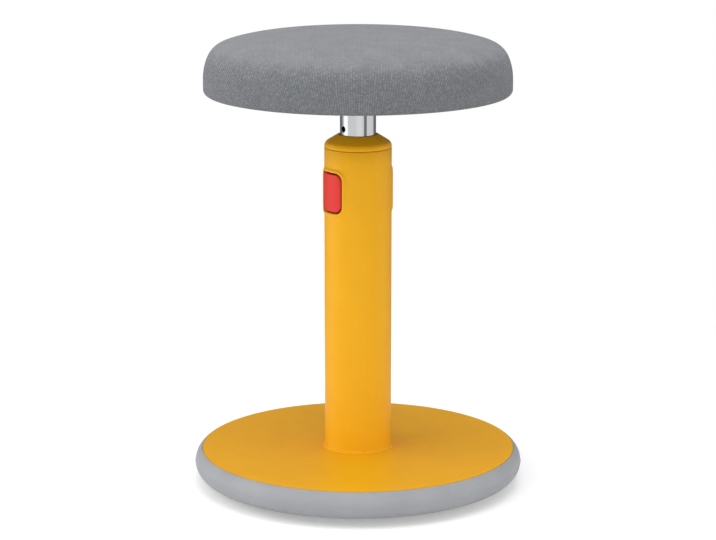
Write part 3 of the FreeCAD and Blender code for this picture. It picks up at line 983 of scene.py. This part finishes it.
@dataclass
class RockingBase:
    """The rubber sole under the yellow cover disc."""

    rim_radius: float = 185.0 * MM
    rim_height: float = 24.6 * MM
    low_radius: float = 175.0 * MM
    foot_radius: float = 60.0 * MM
    rocker: float = 700.0 * MM
    top: float = 39.7 * MM
    lip_radius: float = 176.45 * MM
    lip_edge: float = 0.5 * MM
    shelf: float = 32.85 * MM
    wall: float = 167.5 * MM
    floor: float = 13.0 * MM
    parting_step: float = 0.35 * MM
    parting_half: float = 0.45 * MM
    parting_flat: float = 0.3
    pocket_circle: float = 46.0 * MM
    pocket_radius: float = 9.5 * MM
    pocket_count: int = 3
    pocket_turn: float = 45.0
    cutter_margin: float = 5.0 * MM
    bands: int = 12
    segments: int = 288
    sharp: float = 30.0

    def rise(self, radius: float) -> float:
        """Height of the domed underside at a radius."""
        out = max(radius - self.foot_radius, 0.0)
        return self.rocker - math.sqrt(self.rocker ** 2 - out ** 2)

    def outline(self) -> list[Point]:
        """The sole's section, with a fine parting step at its widest line.

        Returns:
            Radius and height of each corner of a closed outline.
        """
        step = (self.low_radius - self.foot_radius) / self.bands
        radii = [self.foot_radius + step * band for band in range(self.bands)]
        dome = [(radius, self.rise(radius)) for radius in radii]
        inner = self.rim_radius - self.parting_step
        low = (self.low_radius, self.rise(self.low_radius))
        high = (self.lip_radius + self.lip_edge, self.top)
        under = arc_to((inner, self.rim_height - self.parting_half), low, self.bands)
        over = arc_to((inner, self.rim_height + self.parting_half), high, self.bands)
        flat = self.parting_flat * self.parting_half
        line = [(self.rim_radius, self.rim_height - flat), (self.rim_radius, self.rim_height + flat)]
        lip = [(self.lip_radius, self.top - self.lip_edge), (self.lip_radius, self.shelf)]
        inside = [(self.wall, self.shelf), (self.wall, self.floor), (0.0, self.floor)]
        return [(0.0, 0.0)] + dome + under[::-1] + line + over + lip + inside

    def build(self, palette: Palette) -> list[bpy.types.Object]:
        """Makes the sole with its bolt pockets.

        Args:
            palette: the stool's finishes.

        Returns:
            The new pieces.
        """
        sole = turned("sole_rim", self.outline(), self.segments, self.sharp)
        tool = self._cutters()
        cut = sole.modifiers.new("pockets", "BOOLEAN")
        cut.object = tool
        cut.operation = "DIFFERENCE"
        cut.solver = "EXACT"
        baked(sole)
        bpy.data.objects.remove(tool)
        sole.data.set_sharp_from_angle(angle=math.radians(self.sharp))
        palette.dress(sole, "sole_rubber")
        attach(sole, "base")
        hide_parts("sole")
        return [sole]

    def _cutters(self) -> bpy.types.Object:
        """Round rods where the bolt pockets are cut.

        Returns:
            One object of all rods.
        """
        rods = Shape()
        for index in range(self.pocket_count):
            angle = math.radians(self.pocket_turn + 360 * index / self.pocket_count)
            middle = (self.pocket_circle * math.cos(angle), self.pocket_circle * math.sin(angle))
            low, high = (
                rods.ring(circle(self.pocket_radius, height, 48, middle=middle))
                for height in (-self.cutter_margin, self.floor + self.cutter_margin)
            )
            rods.join(low, high)
            rods.close(low, high)
        return rods.build("pocket_cutters")


@dataclass
class RoundedFrame:
    """A rounded rectangle across the column's side, and the loops that run round it."""

    half_width: float
    half_height: float
    corner: float
    middle: float = BUTTON_MIDDLE
    side_steps: int = 8
    corner_steps: int = 8

    def loop(self, grow: float) -> list[Point]:
        """The rectangle's outline, larger all round.

        Args:
            grow: how much larger.

        Returns:
            Place across and height of each point.
        """
        points: list[Point] = []
        for quarter, (right, up) in enumerate(((1, 1), (-1, 1), (-1, -1), (1, -1))):
            centre = (right * (self.half_width - self.corner), up * (self.half_height - self.corner))
            for step in range(self.corner_steps + 1):
                angle = math.pi / 2 * (quarter + step / self.corner_steps)
                reach = self.corner + grow
                points.append((centre[0] + reach * math.cos(angle), centre[1] + reach * math.sin(angle)))
            points.extend(self._side(quarter, points[-1]))
        return [(y, self.middle + z) for y, z in points]

    def _side(self, quarter: int, start: Point) -> list[Point]:
        """The points of the straight side that follows one corner, without its ends.

        Args:
            quarter: the corner's number.
            start: where the side starts.

        Returns:
            The points.
        """
        width = 2 * (self.half_width - self.corner)
        height = 2 * (self.half_height - self.corner)
        across, up = ((-width, 0.0), (0.0, -height), (width, 0.0), (0.0, height))[quarter]
        shares = [step / self.side_steps for step in range(1, self.side_steps)]
        return [(start[0] + across * share, start[1] + up * share) for share in shares]

    def block(self, margin: float) -> list[Point]:
        """The square-cornered rectangle round it, with as many points as a loop has.

        Args:
            margin: how far outside the rectangle lies.

        Returns:
            Place across and height of each point.
        """
        far_y, far_z = self.half_width + margin, self.half_height + margin
        centre_y, centre_z = self.half_width - self.corner, self.half_height - self.corner
        points: list[Point] = []
        for y, height in self.loop(0.0):
            z = height - self.middle
            if abs(z) <= centre_z + TINY:
                points.append((math.copysign(far_y, y), z))
            elif abs(y) <= centre_y + TINY:
                points.append((y, math.copysign(far_z, z)))
            else:
                out_y, out_z = abs(y) - centre_y, abs(z) - centre_z
                reach = min((far_y - centre_y) / out_y, (far_z - centre_z) / out_z)
                corner_y, corner_z = centre_y + out_y * reach, centre_z + out_z * reach
                points.append((math.copysign(corner_y, y), math.copysign(corner_z, z)))
        return [(y, self.middle + z) for y, z in points]


def on_round(side: Side, across: float, height: float, radius: float) -> Vector:
    """A point of an upright round surface, by its place across the column's side."""
    reach = math.sqrt(max(radius ** 2 - across ** 2, 0.0))
    return Vector((side.value * reach, side.value * across, height))


@dataclass
class WallGrid:
    """The upright lines of the casing's walls, with a rectangle left open for each window's loops."""

    angles: list[float]
    starts: list[int]
    open_columns: int
    open_rows: int

    def add(self, shape: Shape, rings: Sequence[Point], first: int) -> list[list[int]]:
        """Adds one wall.

        Args:
            shape: the mesh that takes it.
            rings: radius and height of each ring.
            first: the ring at which the open rectangles start.

        Returns:
            The numbers of each ring's points.
        """
        numbers = [self.ring(shape, radius, height) for radius, height in rings]
        for row, (low, high) in enumerate(zip(numbers, numbers[1:])):
            is_beside = first <= row < first + self.open_rows
            for column in range(len(self.angles)):
                if is_beside and self._is_open(column):
                    continue
                after = (column + 1) % len(self.angles)
                shape.faces.append((low[column], low[after], high[after], high[column]))
        return numbers

    def ring(self, shape: Shape, radius: float, height: float) -> list[int]:
        """Adds the points of one ring and gives their numbers."""
        return shape.ring(Vector((radius * math.cos(a), radius * math.sin(a), height)) for a in self.angles)

    def _is_open(self, column: int) -> bool:
        """Whether a column of faces crosses a window's rectangle."""
        return any(start <= column < start + self.open_columns for start in self.starts)


@dataclass
class Column:
    """The yellow casing with its foot bead and bezels, and the cap that closes it."""

    radius: float = 37.5 * MM
    bore: float = 34.5 * MM
    bottom: float = 25.0 * MM
    cover_top: float = 40.0 * MM
    top: float = 383.0 * MM
    top_edge: Point = (0.35 * MM, 0.4 * MM)
    bead_radius: float = 40.2 * MM
    bead_height: float = 2.2 * MM
    window_half_width: float = 19.0 * MM
    window_half_height: float = 23.0 * MM
    window_corner: float = 8.5 * MM
    bezel_rise: float = 1.5 * MM
    margin: float = 8.0 * MM
    seam_gap: float = 0.8 * MM
    cap_upright: float = 0.8 * MM
    cap_shoulder: float = 7.3 * MM
    cap_slope: float = 31.5
    cap_bore: float = 20.3 * MM
    cap_edge: float = 2.2 * MM
    spigot_gap: float = 0.15 * MM
    spigot_depth: float = 5.0 * MM
    segments: int = 192
    filler_columns: int = 14

    def bezel(self) -> list[Point]:
        """The raised frame's section.

        Returns:
            Distance from the opening and height above the casing of each point.
        """
        rise = self.bezel_rise / MM
        lip = [(0.0, 0.0), (0.0, rise - 0.62), (0.07, rise - 0.38), (0.24, rise - 0.16), (0.5, rise - 0.03)]
        crest = [(0.85, rise), (1.5, rise), (2.0, rise - 0.04), (2.5, rise - 0.2), (2.95, rise - 0.5)]
        foot = [(3.3, rise - 0.88), (3.65, 0.32), (4.1, 0.12), (4.7, 0.02), (5.4, 0.0)]
        return [(out * MM, up * MM) for out, up in lip + crest + foot]

    def bead(self) -> list[Point]:
        """The section of the bead round the casing's foot.

        Returns:
            Radius and height of each point.
        """
        top = self.cover_top + self.bead_height
        crest = [(0.0, -1.15), (-0.12, -0.75), (-0.45, -0.35), (-1.0, -0.12)]
        hollow = [(1.0, 0.0), (0.45, 0.15), (0.1, 0.6), (0.0, 1.3)]
        under = [(self.radius, self.cover_top), (self.bead_radius, self.cover_top)]
        over = [(self.bead_radius + out * MM, top + up * MM) for out, up in crest]
        return under + over + [(self.radius + out * MM, top + up * MM) for out, up in hollow]

    def build(self, palette: Palette) -> list[bpy.types.Object]:
        """Makes the casing and the cap.

        Args:
            palette: the stool's finishes.

        Returns:
            The new pieces.
        """
        casing = self._casing()
        cap = turned("cap_collar", self._cap_outline(), self.segments, 50.0)
        for piece, node in ((casing, "column_casing"), (cap, "column_cap")):
            palette.dress(piece, "yellow_plastic")
            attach(piece, "base")
            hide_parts(node)
        return [casing, cap]

    def _cap_outline(self) -> list[Point]:
        """The cap's section with soft edges.

        Returns:
            Radius and height of each corner of a closed outline.
        """
        base = self.top + self.seam_gap
        low = self.top - self.spigot_depth
        spigot = self.bore - self.spigot_gap
        shoulder = arc((self.radius, base + self.cap_upright), self.cap_shoulder, 0, 90 - self.cap_slope, 14)
        end = shoulder[-1]
        edge = self.cap_bore + self.cap_edge
        peak = end[1] + (end[0] - edge) * math.tan(math.radians(self.cap_slope))
        inside = [(self.cap_bore, peak), (self.cap_bore, low), (spigot, low), (spigot, base)]
        outline = [(self.radius, base)] + shoulder + [(edge, peak)] + inside
        slope_end = len(shoulder) + 1
        return softened(outline, {0: 0.3 * MM, slope_end: 0.9 * MM, slope_end + 1: 0.6 * MM})

    def _angles(self, own: Sequence[float]) -> tuple[list[float], list[int]]:
        """Angles of the casing's upright lines.

        Args:
            own: places across the column's side of a window's own lines.

        Returns:
            All angles in order, and the numbers at which each window's own lines start.
        """
        turn = [math.asin(y / self.radius) for y in own]
        angles: list[float] = []
        starts = []
        for half in (0.0, math.pi):
            starts.append(len(angles))
            angles.extend(half + a for a in turn)
            gap_from, gap_to = half + turn[-1], half + math.pi + turn[0]
            shares = [step / self.filler_columns for step in range(1, self.filler_columns)]
            angles.extend(gap_from + (gap_to - gap_from) * share for share in shares)
        return angles, starts

    def _casing(self) -> bpy.types.Object:
        """The casing: a closed shell, with a grid of faces but for a patch of loops round each window.

        Returns:
            The new object.
        """
        window = RoundedFrame(self.window_half_width, self.window_half_height, self.window_corner)
        block = window.block(self.margin)
        far, top = (max(point[side] for point in block) for side in (0, 1))
        columns = levels(y for y, z in block if abs(z - top) < TINY)
        rows = levels(z for y, z in block if abs(y - far) < TINY)
        grid = WallGrid(*self._angles(columns), len(columns) - 1, len(rows) - 1)
        foot = [(self.radius, self.bottom)] + self.bead()
        inset, drop = self.top_edge
        edge = [(self.radius, self.top - drop), (self.radius - inset, self.top)]
        outer = foot + [(self.radius, z) for z in rows] + edge
        inner = [(self.bore, z) for z in (self.bottom, *rows, self.top)]
        shape = Shape()
        outer_rows = grid.add(shape, outer, len(foot))
        inner_rows = grid.add(shape, inner, 1)
        shape.join(outer_rows[0], inner_rows[0])
        shape.join(outer_rows[-1], inner_rows[-1])
        for side in (Side.RIGHT, Side.LEFT):
            self._window(shape, side, window, block)
        return shape.build("casing_shell", 45.0)

    def _window(self, shape: Shape, side: Side, window: RoundedFrame, block: Sequence[Point]) -> None:
        """Adds one opening with its bezel, from the inner wall's patch to the outer wall's.

        Args:
            shape: the casing's mesh.
            side: where the opening is.
            window: its outline.
            block: the rectangle that the walls leave open for it.
        """
        half = 0.0 if side is Side.RIGHT else math.pi
        edge = [(half + math.asin(y / self.radius), z) for y, z in block]
        inside, outside = (
            shape.ring(Vector((radius * math.cos(a), radius * math.sin(a), z)) for a, z in edge)
            for radius in (self.bore, self.radius)
        )
        last = inside
        for grow, radius in [(0.0, self.bore)] + [(out, self.radius + up) for out, up in self.bezel()]:
            following = shape.ring(on_round(side, y, z, radius) for y, z in window.loop(grow))
            shape.join(last, following)
            last = following
        shape.join(last, outside)


@dataclass
class ReleaseButton:
    """One red button: a softly pillowed face, a skirt, a holding lip and the rib behind it."""

    side: Side
    body: str
    node: str
    half_width: float = 16.9 * MM
    half_height: float = 21.0 * MM
    corner: float = 7.2 * MM
    face_radius: float = 38.6 * MM
    pillow: float = 0.35 * MM
    edge: float = 1.2 * MM
    lip_radius: float = 34.2 * MM
    lip_inner: float = 33.0 * MM
    lip: float = 3.6 * MM
    least_corner: float = 0.6 * MM
    pocket_half_width: float = 10.5 * MM
    pocket_half_height: float = 20.0 * MM
    pocket_corner: float = 2.0 * MM
    pocket_radius: float = 36.0 * MM
    rib_half: float = 3.0 * MM
    rib_inner: float = 29.5 * MM
    rib_top: float = 344.0 * MM
    rib_root: float = 0.3 * MM
    ramp_level: float = 360.3 * MM
    edge_steps: int = 6
    face_steps: int = 8

    def build(self, palette: Palette) -> list[bpy.types.Object]:
        """Makes the button.

        Args:
            palette: the stool's finishes.

        Returns:
            The new pieces.
        """
        outline = RoundedFrame(self.half_width, self.half_height, self.corner)
        shape = Shape()
        rings = [
            shape.ring(on_round(self.side, y, z, radius) for y, z in outline.loop(grow))
            for grow, radius in self._section()
        ]
        for low, high in zip(rings, rings[1:]):
            shape.join(low, high)
        self._face(shape, outline, rings[-1])
        self._pocket(shape, rings[0])
        self._rib(shape)
        button = shape.build(self.node + "_moulding", 45.0)
        palette.dress(button, "red_plastic")
        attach(button, self.body)
        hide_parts(self.node)
        return [button]

    def _section(self) -> list[Point]:
        """The section of lip, skirt, edge and the start of the face.

        Returns:
            How far outside the button's outline, and radius, of each point.
        """
        skirt_top = self.face_radius - self.edge
        section = [(self.lip, self.lip_inner), (self.lip, self.lip_radius)]
        section += [(0.0, self.lip_radius), (0.0, skirt_top)]
        for step in range(1, self.edge_steps + 1):
            angle = math.pi / 2 * step / self.edge_steps
            section.append((-self.edge * (1 - math.cos(angle)), skirt_top + self.edge * math.sin(angle)))
        for step in range(1, self.edge_steps + 1):
            inset = self.edge + (self._deepest() - self.edge) * step / self.edge_steps
            section.append((-inset, self._level(inset)))
        return section

    def _deepest(self) -> float:
        """How far in from the edge the last loop with round corners is."""
        return self.corner - self.least_corner

    def _level(self, inset: float) -> float:
        """The face's radius at a distance in from the edge, with the pillow's rise."""
        share = min(inset / self.half_width, 1.0)
        return self.face_radius + self.pillow * (1 - (1 - share) ** 2)

    def _face(self, shape: Shape, outline: RoundedFrame, ring: Sequence[int]) -> None:
        """Fills the face with rings that shrink to its middle.

        Args:
            shape: the button's mesh.
            outline: the button's outline.
            ring: the last loop's points.
        """
        deepest = self._deepest()
        last = ring
        for step in range(1, self.face_steps):
            share = 1 - step / self.face_steps
            level = self._level(deepest + (self.half_width - deepest) * (1 - share))
            following = shape.ring(
                on_round(self.side, y * share, outline.middle + (z - outline.middle) * share, level)
                for y, z in outline.loop(-deepest)
            )
            shape.join(last, following)
            last = following
        shape.fan(last, on_round(self.side, 0.0, outline.middle, self.face_radius + self.pillow))

    def _pocket(self, shape: Shape, ring: Sequence[int]) -> None:
        """Hollows the back.

        Args:
            shape: the button's mesh.
            ring: the points of the lip's inner edge.
        """
        pocket = RoundedFrame(self.pocket_half_width, self.pocket_half_height, self.pocket_corner)
        last = ring
        for radius in (self.lip_inner, self.pocket_radius):
            following = shape.ring(on_round(self.side, y, z, radius) for y, z in pocket.loop(0.0))
            shape.join(last, following)
            last = following
        shape.fan(last, on_round(self.side, 0.0, pocket.middle, self.pocket_radius), inward=True)

    def _rib(self, shape: Shape) -> None:
        """Adds the rib whose sloping underside pushes the release yoke down.

        Args:
            shape: the button's mesh.
        """
        outer = self.pocket_radius + self.rib_root
        corners = [
            (self.rib_inner, self.rib_top), (self.rib_inner, self.ramp_level - self.rib_inner),
            (outer, self.ramp_level - outer), (outer, self.rib_top),
        ]
        one, other = (
            shape.ring(Vector((self.side.value * reach, across, height)) for reach, height in corners)
            for across in (-self.rib_half, self.rib_half)
        )
        shape.join(one, other)
        shape.close(one, other)


class CoverRings:
    """The rings of the pad's mesh, with where each of their points lies on the flat cloth."""

    def __init__(self, shape: Shape, start: Point, turn: float) -> None:
        """Starts at the middle of the top.

        Args:
            shape: the pad's mesh.
            start: radius and height of that middle.
            turn: how far the cloth is turned, in radians.
        """
        self.shape = shape
        self.before = start
        self.turn = turn
        self.travelled = 0.0
        self.rings: list[list[int]] = []
        self.laid: list[Point] = []

    def add(self, place: Point, count: int, on_cloth: bool = True) -> None:
        """Adds one ring.

        Args:
            place: its radius and height.
            count: how many points it has.
            on_cloth: whether it lies farther out on the cloth than the ring before.
        """
        if on_cloth:
            self.travelled += math.dist(place, self.before)
        self.before = place
        self.rings.append(self.shape.ring(circle(*place, count)))
        self.laid.extend((p.x, p.y) for p in circle(self.travelled, 0.0, count, self.turn))

    def add_hidden(self, radius: float, height: float, count: int) -> list[int]:
        """Adds one ring under the pad, where no cloth is seen.

        Args:
            radius: its radius.
            height: its height.
            count: how many points it has.

        Returns:
            The numbers of its points.
        """
        points = circle(radius, height, count)
        self.laid.extend((p.x, p.y) for p in points)
        return self.shape.ring(points)


@dataclass
class SeatPad:
    """The round foam pad in its knitted cover, drawn tight by a short cloth simulation."""

    bottom: float = 444.0 * MM
    radius: float = 170.75 * MM
    corner: float = 5.0 * MM
    upright: float = 12.0 * MM
    side_curve: float = 58.0 * MM
    side_angle: float = 25.0
    shoulder_curve: float = 25.0 * MM
    shoulder_angle: float = 73.6
    top_curve: float = 212.0 * MM
    hem_radius: float = 148.0 * MM
    hem_thick: float = 2.85 * MM
    board_radius: float = 160.15 * MM
    board_top: float = 459.15 * MM
    start_inset: float = 0.2 * MM
    most_swell: float = 1.2 * MM
    pressure: float = 0.3
    frames: int = 20
    top_rings: int = 32
    side_rings: int = 13
    corner_rings: int = 6
    cloth_turn: float = -CAMERA_TURN

    def crown(self) -> list[Point]:
        """The cover's line from the middle of the top down to its widest line.

        Returns:
            Radius and height of each point.
        """
        low = (self.radius - self.start_inset, self.bottom + self.corner)
        high = (low[0], low[1] + self.upright - self.start_inset)
        side = arc(high, self.side_curve, 0, self.side_angle, 8)
        shoulder = arc(side[-1], self.shoulder_curve, self.side_angle, self.shoulder_angle, 14)
        top = arc(shoulder[-1], self.top_curve, self.shoulder_angle, 90, 18)
        points = [low] + side + shoulder[1:] + top[1:] + [(0.0, top[-1][1])]
        return points[::-1]

    def build(self, palette: Palette) -> list[bpy.types.Object]:
        """Makes the pad.

        Args:
            palette: the stool's finishes.

        Returns:
            The new pieces.
        """
        pad = self._pad()
        self._puff(pad)
        smooth = pad.modifiers.new("smooth", "SUBSURF")
        smooth.levels = 1
        smooth.render_levels = 1
        baked(pad)
        palette.dress(pad, "knit_fabric")
        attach(pad, "seat")
        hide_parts("seat_cushion")
        return [pad]

    def _pad(self) -> bpy.types.Object:
        """The closed pad: even rings over the top, then rings of one count down the side and under.

        Returns:
            The new object, with the flat cloth's attribute and the group of held points.
        """
        line = even(self.crown(), self.top_rings + self.side_rings)
        full = 8 * self.top_rings
        shape = Shape()
        cover = CoverRings(shape, line[0], math.radians(self.cloth_turn))
        for index, place in enumerate(line):
            cover.add(place, 1 if index == 0 else 8 * min(index, self.top_rings))
        widest = (self.radius - self.start_inset, self.bottom + self.corner)
        corner = arc(widest, self.corner, 0, -90, self.corner_rings)
        foot = corner[-1][0]
        hem = [(foot + (self.hem_radius - foot) * share, self.bottom) for share in (0.33, 0.67, 1.0)]
        for place in corner[1:] + hem:
            cover.add(place, full)
        hem_top = self.bottom + self.hem_thick
        inner_edge = (self.board_radius, hem_top)
        for place in ((self.hem_radius, hem_top), inner_edge, (self.board_radius, self.board_top)):
            cover.add(place, full, on_cloth=False)
        for small, large in zip(cover.rings[:self.top_rings], cover.rings[1:]):
            shape.join_squares(small, large)
        for low, high in zip(cover.rings[self.top_rings:], cover.rings[self.top_rings + 1:]):
            shape.join(low, high)
        last = cover.rings[-1]
        for index in range(self.top_rings - 1, -1, -1):
            reach = self.board_radius * index / self.top_rings
            following = cover.add_hidden(reach, self.board_top, max(8 * index, 1))
            shape.join_squares(following, last)
            last = following
        return self._marked(shape.build("seat_pad", 180.0), cover.laid)

    def _marked(self, pad: bpy.types.Object, laid: Sequence[Point]) -> bpy.types.Object:
        """Notes on the mesh where each point lies on the flat cloth, and which points are held.

        Args:
            pad: the pad.
            laid: the place of each point on the flat cloth.

        Returns:
            The same pad.
        """
        places = pad.data.attributes.new(Palette.FLAT_CLOTH, "FLOAT_VECTOR", "POINT")
        flat = np.zeros((len(laid), 3))
        flat[:, :2] = laid
        places.data.foreach_set("vector", flat.ravel())
        held = pad.vertex_groups.new(name="held")
        held.add([v.index for v in pad.data.vertices if self._is_held(v.co)], 1.0, "REPLACE")
        return pad

    def _is_held(self, place: Vector) -> bool:
        """Whether a point is on the board or under it, where the cover is fixed."""
        on_board = place.xy.length < self.board_radius + 1e-6 and place.z < self.board_top + 1e-6
        return on_board or place.z < self.bottom + 0.5 * MM

    def _puff(self, pad: bpy.types.Object) -> None:
        """Swells the cover with a little air pressure, along its normals and by so much at most.

        Args:
            pad: the pad.
        """
        rest = np.zeros(len(pad.data.vertices) * 3)
        pad.data.vertices.foreach_get("co", rest)
        cloth = pad.modifiers.new("cloth", "CLOTH")
        settings = cloth.settings
        settings.quality = 6
        settings.mass = 0.25
        settings.tension_stiffness = 18
        settings.compression_stiffness = 18
        settings.shear_stiffness = 8
        settings.bending_stiffness = 1.2
        settings.use_pressure = True
        settings.uniform_pressure_force = self.pressure
        settings.vertex_group_mass = "held"
        settings.effector_weights.gravity = 0.0
        cloth.collision_settings.use_collision = False
        cloth.point_cache.frame_start = 1
        cloth.point_cache.frame_end = self.frames
        scene = bpy.context.scene
        for number in range(1, self.frames + 1):
            scene.frame_set(number)
        graph = bpy.context.evaluated_depsgraph_get()
        swollen = np.zeros(len(rest))
        pad.evaluated_get(graph).data.vertices.foreach_get("co", swollen)
        pad.modifiers.remove(cloth)
        scene.frame_set(1)
        outward = np.zeros(len(rest))
        pad.data.vertices.foreach_get("normal", outward)
        outward = outward.reshape(-1, 3)
        moved = ((swollen - rest).reshape(-1, 3) * outward).sum(axis=1, keepdims=True)
        LOG.info("cover moved out by %.2f mm and in by %.2f mm at most", moved.max() / MM, -moved.min() / MM)
        swell = self.most_swell * np.tanh(np.maximum(moved, 0.0) / self.most_swell)
        pad.data.vertices.foreach_set("co", (rest.reshape(-1, 3) + swell * outward).ravel())
        pad.data.update()


# Stage


@dataclass(frozen=True)
class Panel:
    """An upright panel that polished metal mirrors: bright, or dark where its strength is below 0.

    Its middle and half width are in degrees to the right of the camera's side.
    """

    middle: float
    half: float
    strength: float


@dataclass(frozen=True)
class Lamp:
    """A square soft lamp that faces the column.

    Its size and distance are in metres, its turn is in degrees to the right of the camera's side, its
    rise in degrees above the floor and its power in watts.
    """

    name: str
    size: float
    turn: float
    rise: float
    distance: float
    power: float


@dataclass
class Studio:
    """A pale floor, a soft white surround and five large soft lamps."""

    distance: float = 2646.7 * MM
    height: float = 836.3 * MM
    pitch: float = 12.627
    lens_pixels: float = 2420.22
    sensor: float = 36.0
    surround: float = 0.67
    floor_colour: Colour = (0.86, 0.86, 0.86)
    floor_glow: float = 0.3
    floor_reach: float = 40.0
    floor_drop: float = 0.2 * MM
    near_floor: float = 0.3
    far_floor: float = 0.9
    aim_height: float = 0.25
    mirrored_rise: float = 30.0
    panel_core: float = 0.6

    PANELS = (
        Panel(-84.0, 19.0, 0.75),
        Panel(48.0, 12.0, -0.75),
        Panel(-180.0, 80.0, -0.82),
        Panel(180.0, 80.0, -0.82),
        Panel(8.0, 22.0, 0.12),
    )
    LAMPS = (
        Lamp("key_lamp", 1.6, -60.0, 40.0, 2.4, 8.0),
        Lamp("side_lamp", 1.1, -95.0, 12.0, 1.8, 7.0),
        Lamp("top_lamp", 1.8, 10.0, 78.0, 2.6, 24.0),
        Lamp("front_lamp", 1.4, 2.0, 10.0, 3.2, 16.0),
        Lamp("right_lamp", 1.2, 75.0, 14.0, 2.4, 4.5),
    )

    def build(self) -> None:
        """Makes the camera, the floor, the surround and the lamps."""
        self._camera()
        self._floor()
        self._world()
        for lamp in self.LAMPS:
            self._lamp(lamp)

    def _camera(self) -> None:
        """Puts the camera where the photograph was taken from."""
        data = bpy.data.cameras.new("camera")
        data.sensor_width = self.sensor
        data.lens = self.lens_pixels / IMAGE_WIDTH * self.sensor
        data.clip_start = 0.05
        data.clip_end = 200.0
        camera = bpy.data.objects.new("camera", data)
        turn = math.radians(CAMERA_TURN)
        camera.location = (math.sin(turn) * self.distance, -math.cos(turn) * self.distance, self.height)
        camera.rotation_euler = (math.radians(90 - self.pitch), 0.0, turn)
        bpy.context.scene.collection.objects.link(camera)
        bpy.context.scene.camera = camera

    def _floor(self) -> None:
        """A wide pale floor that takes the stool's shadow and looks white round it."""
        surface = Surface("studio_floor")
        surface.finish(Base_Color=self.floor_colour, Roughness=0.9, Specular_IOR_Level=0.1)
        seen, mirrored = surface.seen()
        glow = surface.add("ShaderNodeEmission", {}, {"Color": WHITE, "Strength": self.floor_glow * seen})
        near = surface.add("ShaderNodeAddShader", {}, {0: surface.shader.outputs[0], 1: glow.outputs[0]})
        x, y, _ = surface.parts(surface.place())
        away = x.reach(y).step(self.near_floor, self.far_floor)
        panels = mirrored * self._panels(x, y)
        far = surface.add("ShaderNodeEmission", {}, {"Color": 1.0 + panels, "Strength": 1.0})
        shaders = {0: away * seen, 1: near.outputs[0], 2: far.outputs[0]}
        mixed = surface.add("ShaderNodeMixShader", {}, shaders)
        surface.feed(surface.output.inputs["Surface"], mixed.outputs[0])
        shape = Shape()
        corners = [(-1, -1), (1, -1), (1, 1), (-1, 1)]
        places = (Vector((x * self.floor_reach, y * self.floor_reach, -self.floor_drop)) for x, y in corners)
        shape.faces.append(tuple(shape.ring(places)))
        floor = shape.build("studio_floor")
        floor.data.materials.append(surface.material)

    def _world(self) -> None:
        """White where it is seen or mirrored, and softer as a light."""
        world = bpy.data.worlds.new("studio")
        world.use_nodes = True
        bpy.context.scene.world = world
        nodes = Nodes(world.node_tree)
        seen, mirrored = nodes.seen()
        x, y, _ = nodes.parts(nodes.add("ShaderNodeTexCoord").outputs["Generated"])
        strength = self.surround + (1.0 - self.surround) * seen + mirrored * self._panels(x, y)
        white = nodes.add("ShaderNodeBackground", {}, {"Color": WHITE, "Strength": strength})
        nodes.add("ShaderNodeOutputWorld", {}, {"Surface": white.outputs[0]})

    def _panels(self, x: Value, y: Value) -> Value:
        """What the panels round the studio add, as polished metal mirrors them.

        Args:
            x: how far along X a place or a direction is.
            y: the same along Y.

        Returns:
            The added brightness.
        """
        turn = math.radians(CAMERA_TURN)
        right = math.cos(turn) * x + math.sin(turn) * y
        front = math.sin(turn) * x - math.cos(turn) * y
        angle = right.math("ARCTAN2", front)
        parts = []
        for panel in self.PANELS:
            away = (angle - math.radians(panel.middle)).size()
            edge = away.step(math.radians(self.panel_core * panel.half), math.radians(panel.half))
            parts.append(panel.strength * (1.0 - edge))
        return sum(parts[1:], parts[0])

    def _lamp(self, lamp: Lamp) -> None:
        """Adds one lamp.

        Args:
            lamp: the lamp.
        """
        data = bpy.data.lights.new(lamp.name, "AREA")
        data.shape = "SQUARE"
        data.size = lamp.size
        data.energy = lamp.power
        light = bpy.data.objects.new(lamp.name, data)
        light.visible_glossy = lamp.rise > self.mirrored_rise
        turn, rise = math.radians(CAMERA_TURN + lamp.turn), math.radians(lamp.rise)
        level = math.cos(rise)
        toward = Vector((math.sin(turn) * level, -math.cos(turn) * level, math.sin(rise))) * lamp.distance
        light.location = Vector((0.0, 0.0, self.aim_height)) + toward
        light.rotation_mode = "QUATERNION"
        light.rotation_quaternion = (-toward).to_track_quat("-Z", "Y")
        bpy.context.scene.collection.objects.link(light)


class Stool:
    """The whole stool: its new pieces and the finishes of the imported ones."""

    def __init__(self) -> None:
        """Reads the board's place for the plywood's layers, and builds the finishes."""
        low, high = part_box("seat_board")
        self.palette = Palette(low.z, high.z - low.z)
        self.assemblies: list[Assembly] = [
            RockingBase(),
            Column(),
            ReleaseButton(Side.LEFT, "left_button", "button_left"),
            ReleaseButton(Side.RIGHT, "right_button", "button_right"),
            SeatPad(),
        ]

    def build(self) -> None:
        """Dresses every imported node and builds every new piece."""
        slots = {part["node"]: part["material_slot"] for part in frame["record"]["subparts"]}
        for name, node in frame["nodes"].items():
            self.palette.dress_node(node, slots[name])
            LOG.info("%s: finish %s", name, slots[name])
        for assembly in self.assemblies:
            for piece in assembly.build(self.palette):
                LOG.info("%s: %s, %d faces", type(assembly).__name__, piece.name, len(piece.data.polygons))


def main() -> None:
    """Builds the stage and the stool."""
    logging.basicConfig(level=logging.INFO, format="%(name)s: %(message)s")
    bpy.context.scene.view_settings.view_transform = "Standard"
    Studio().build()
    Stool().build()


if __name__ == "__main__":
    main()
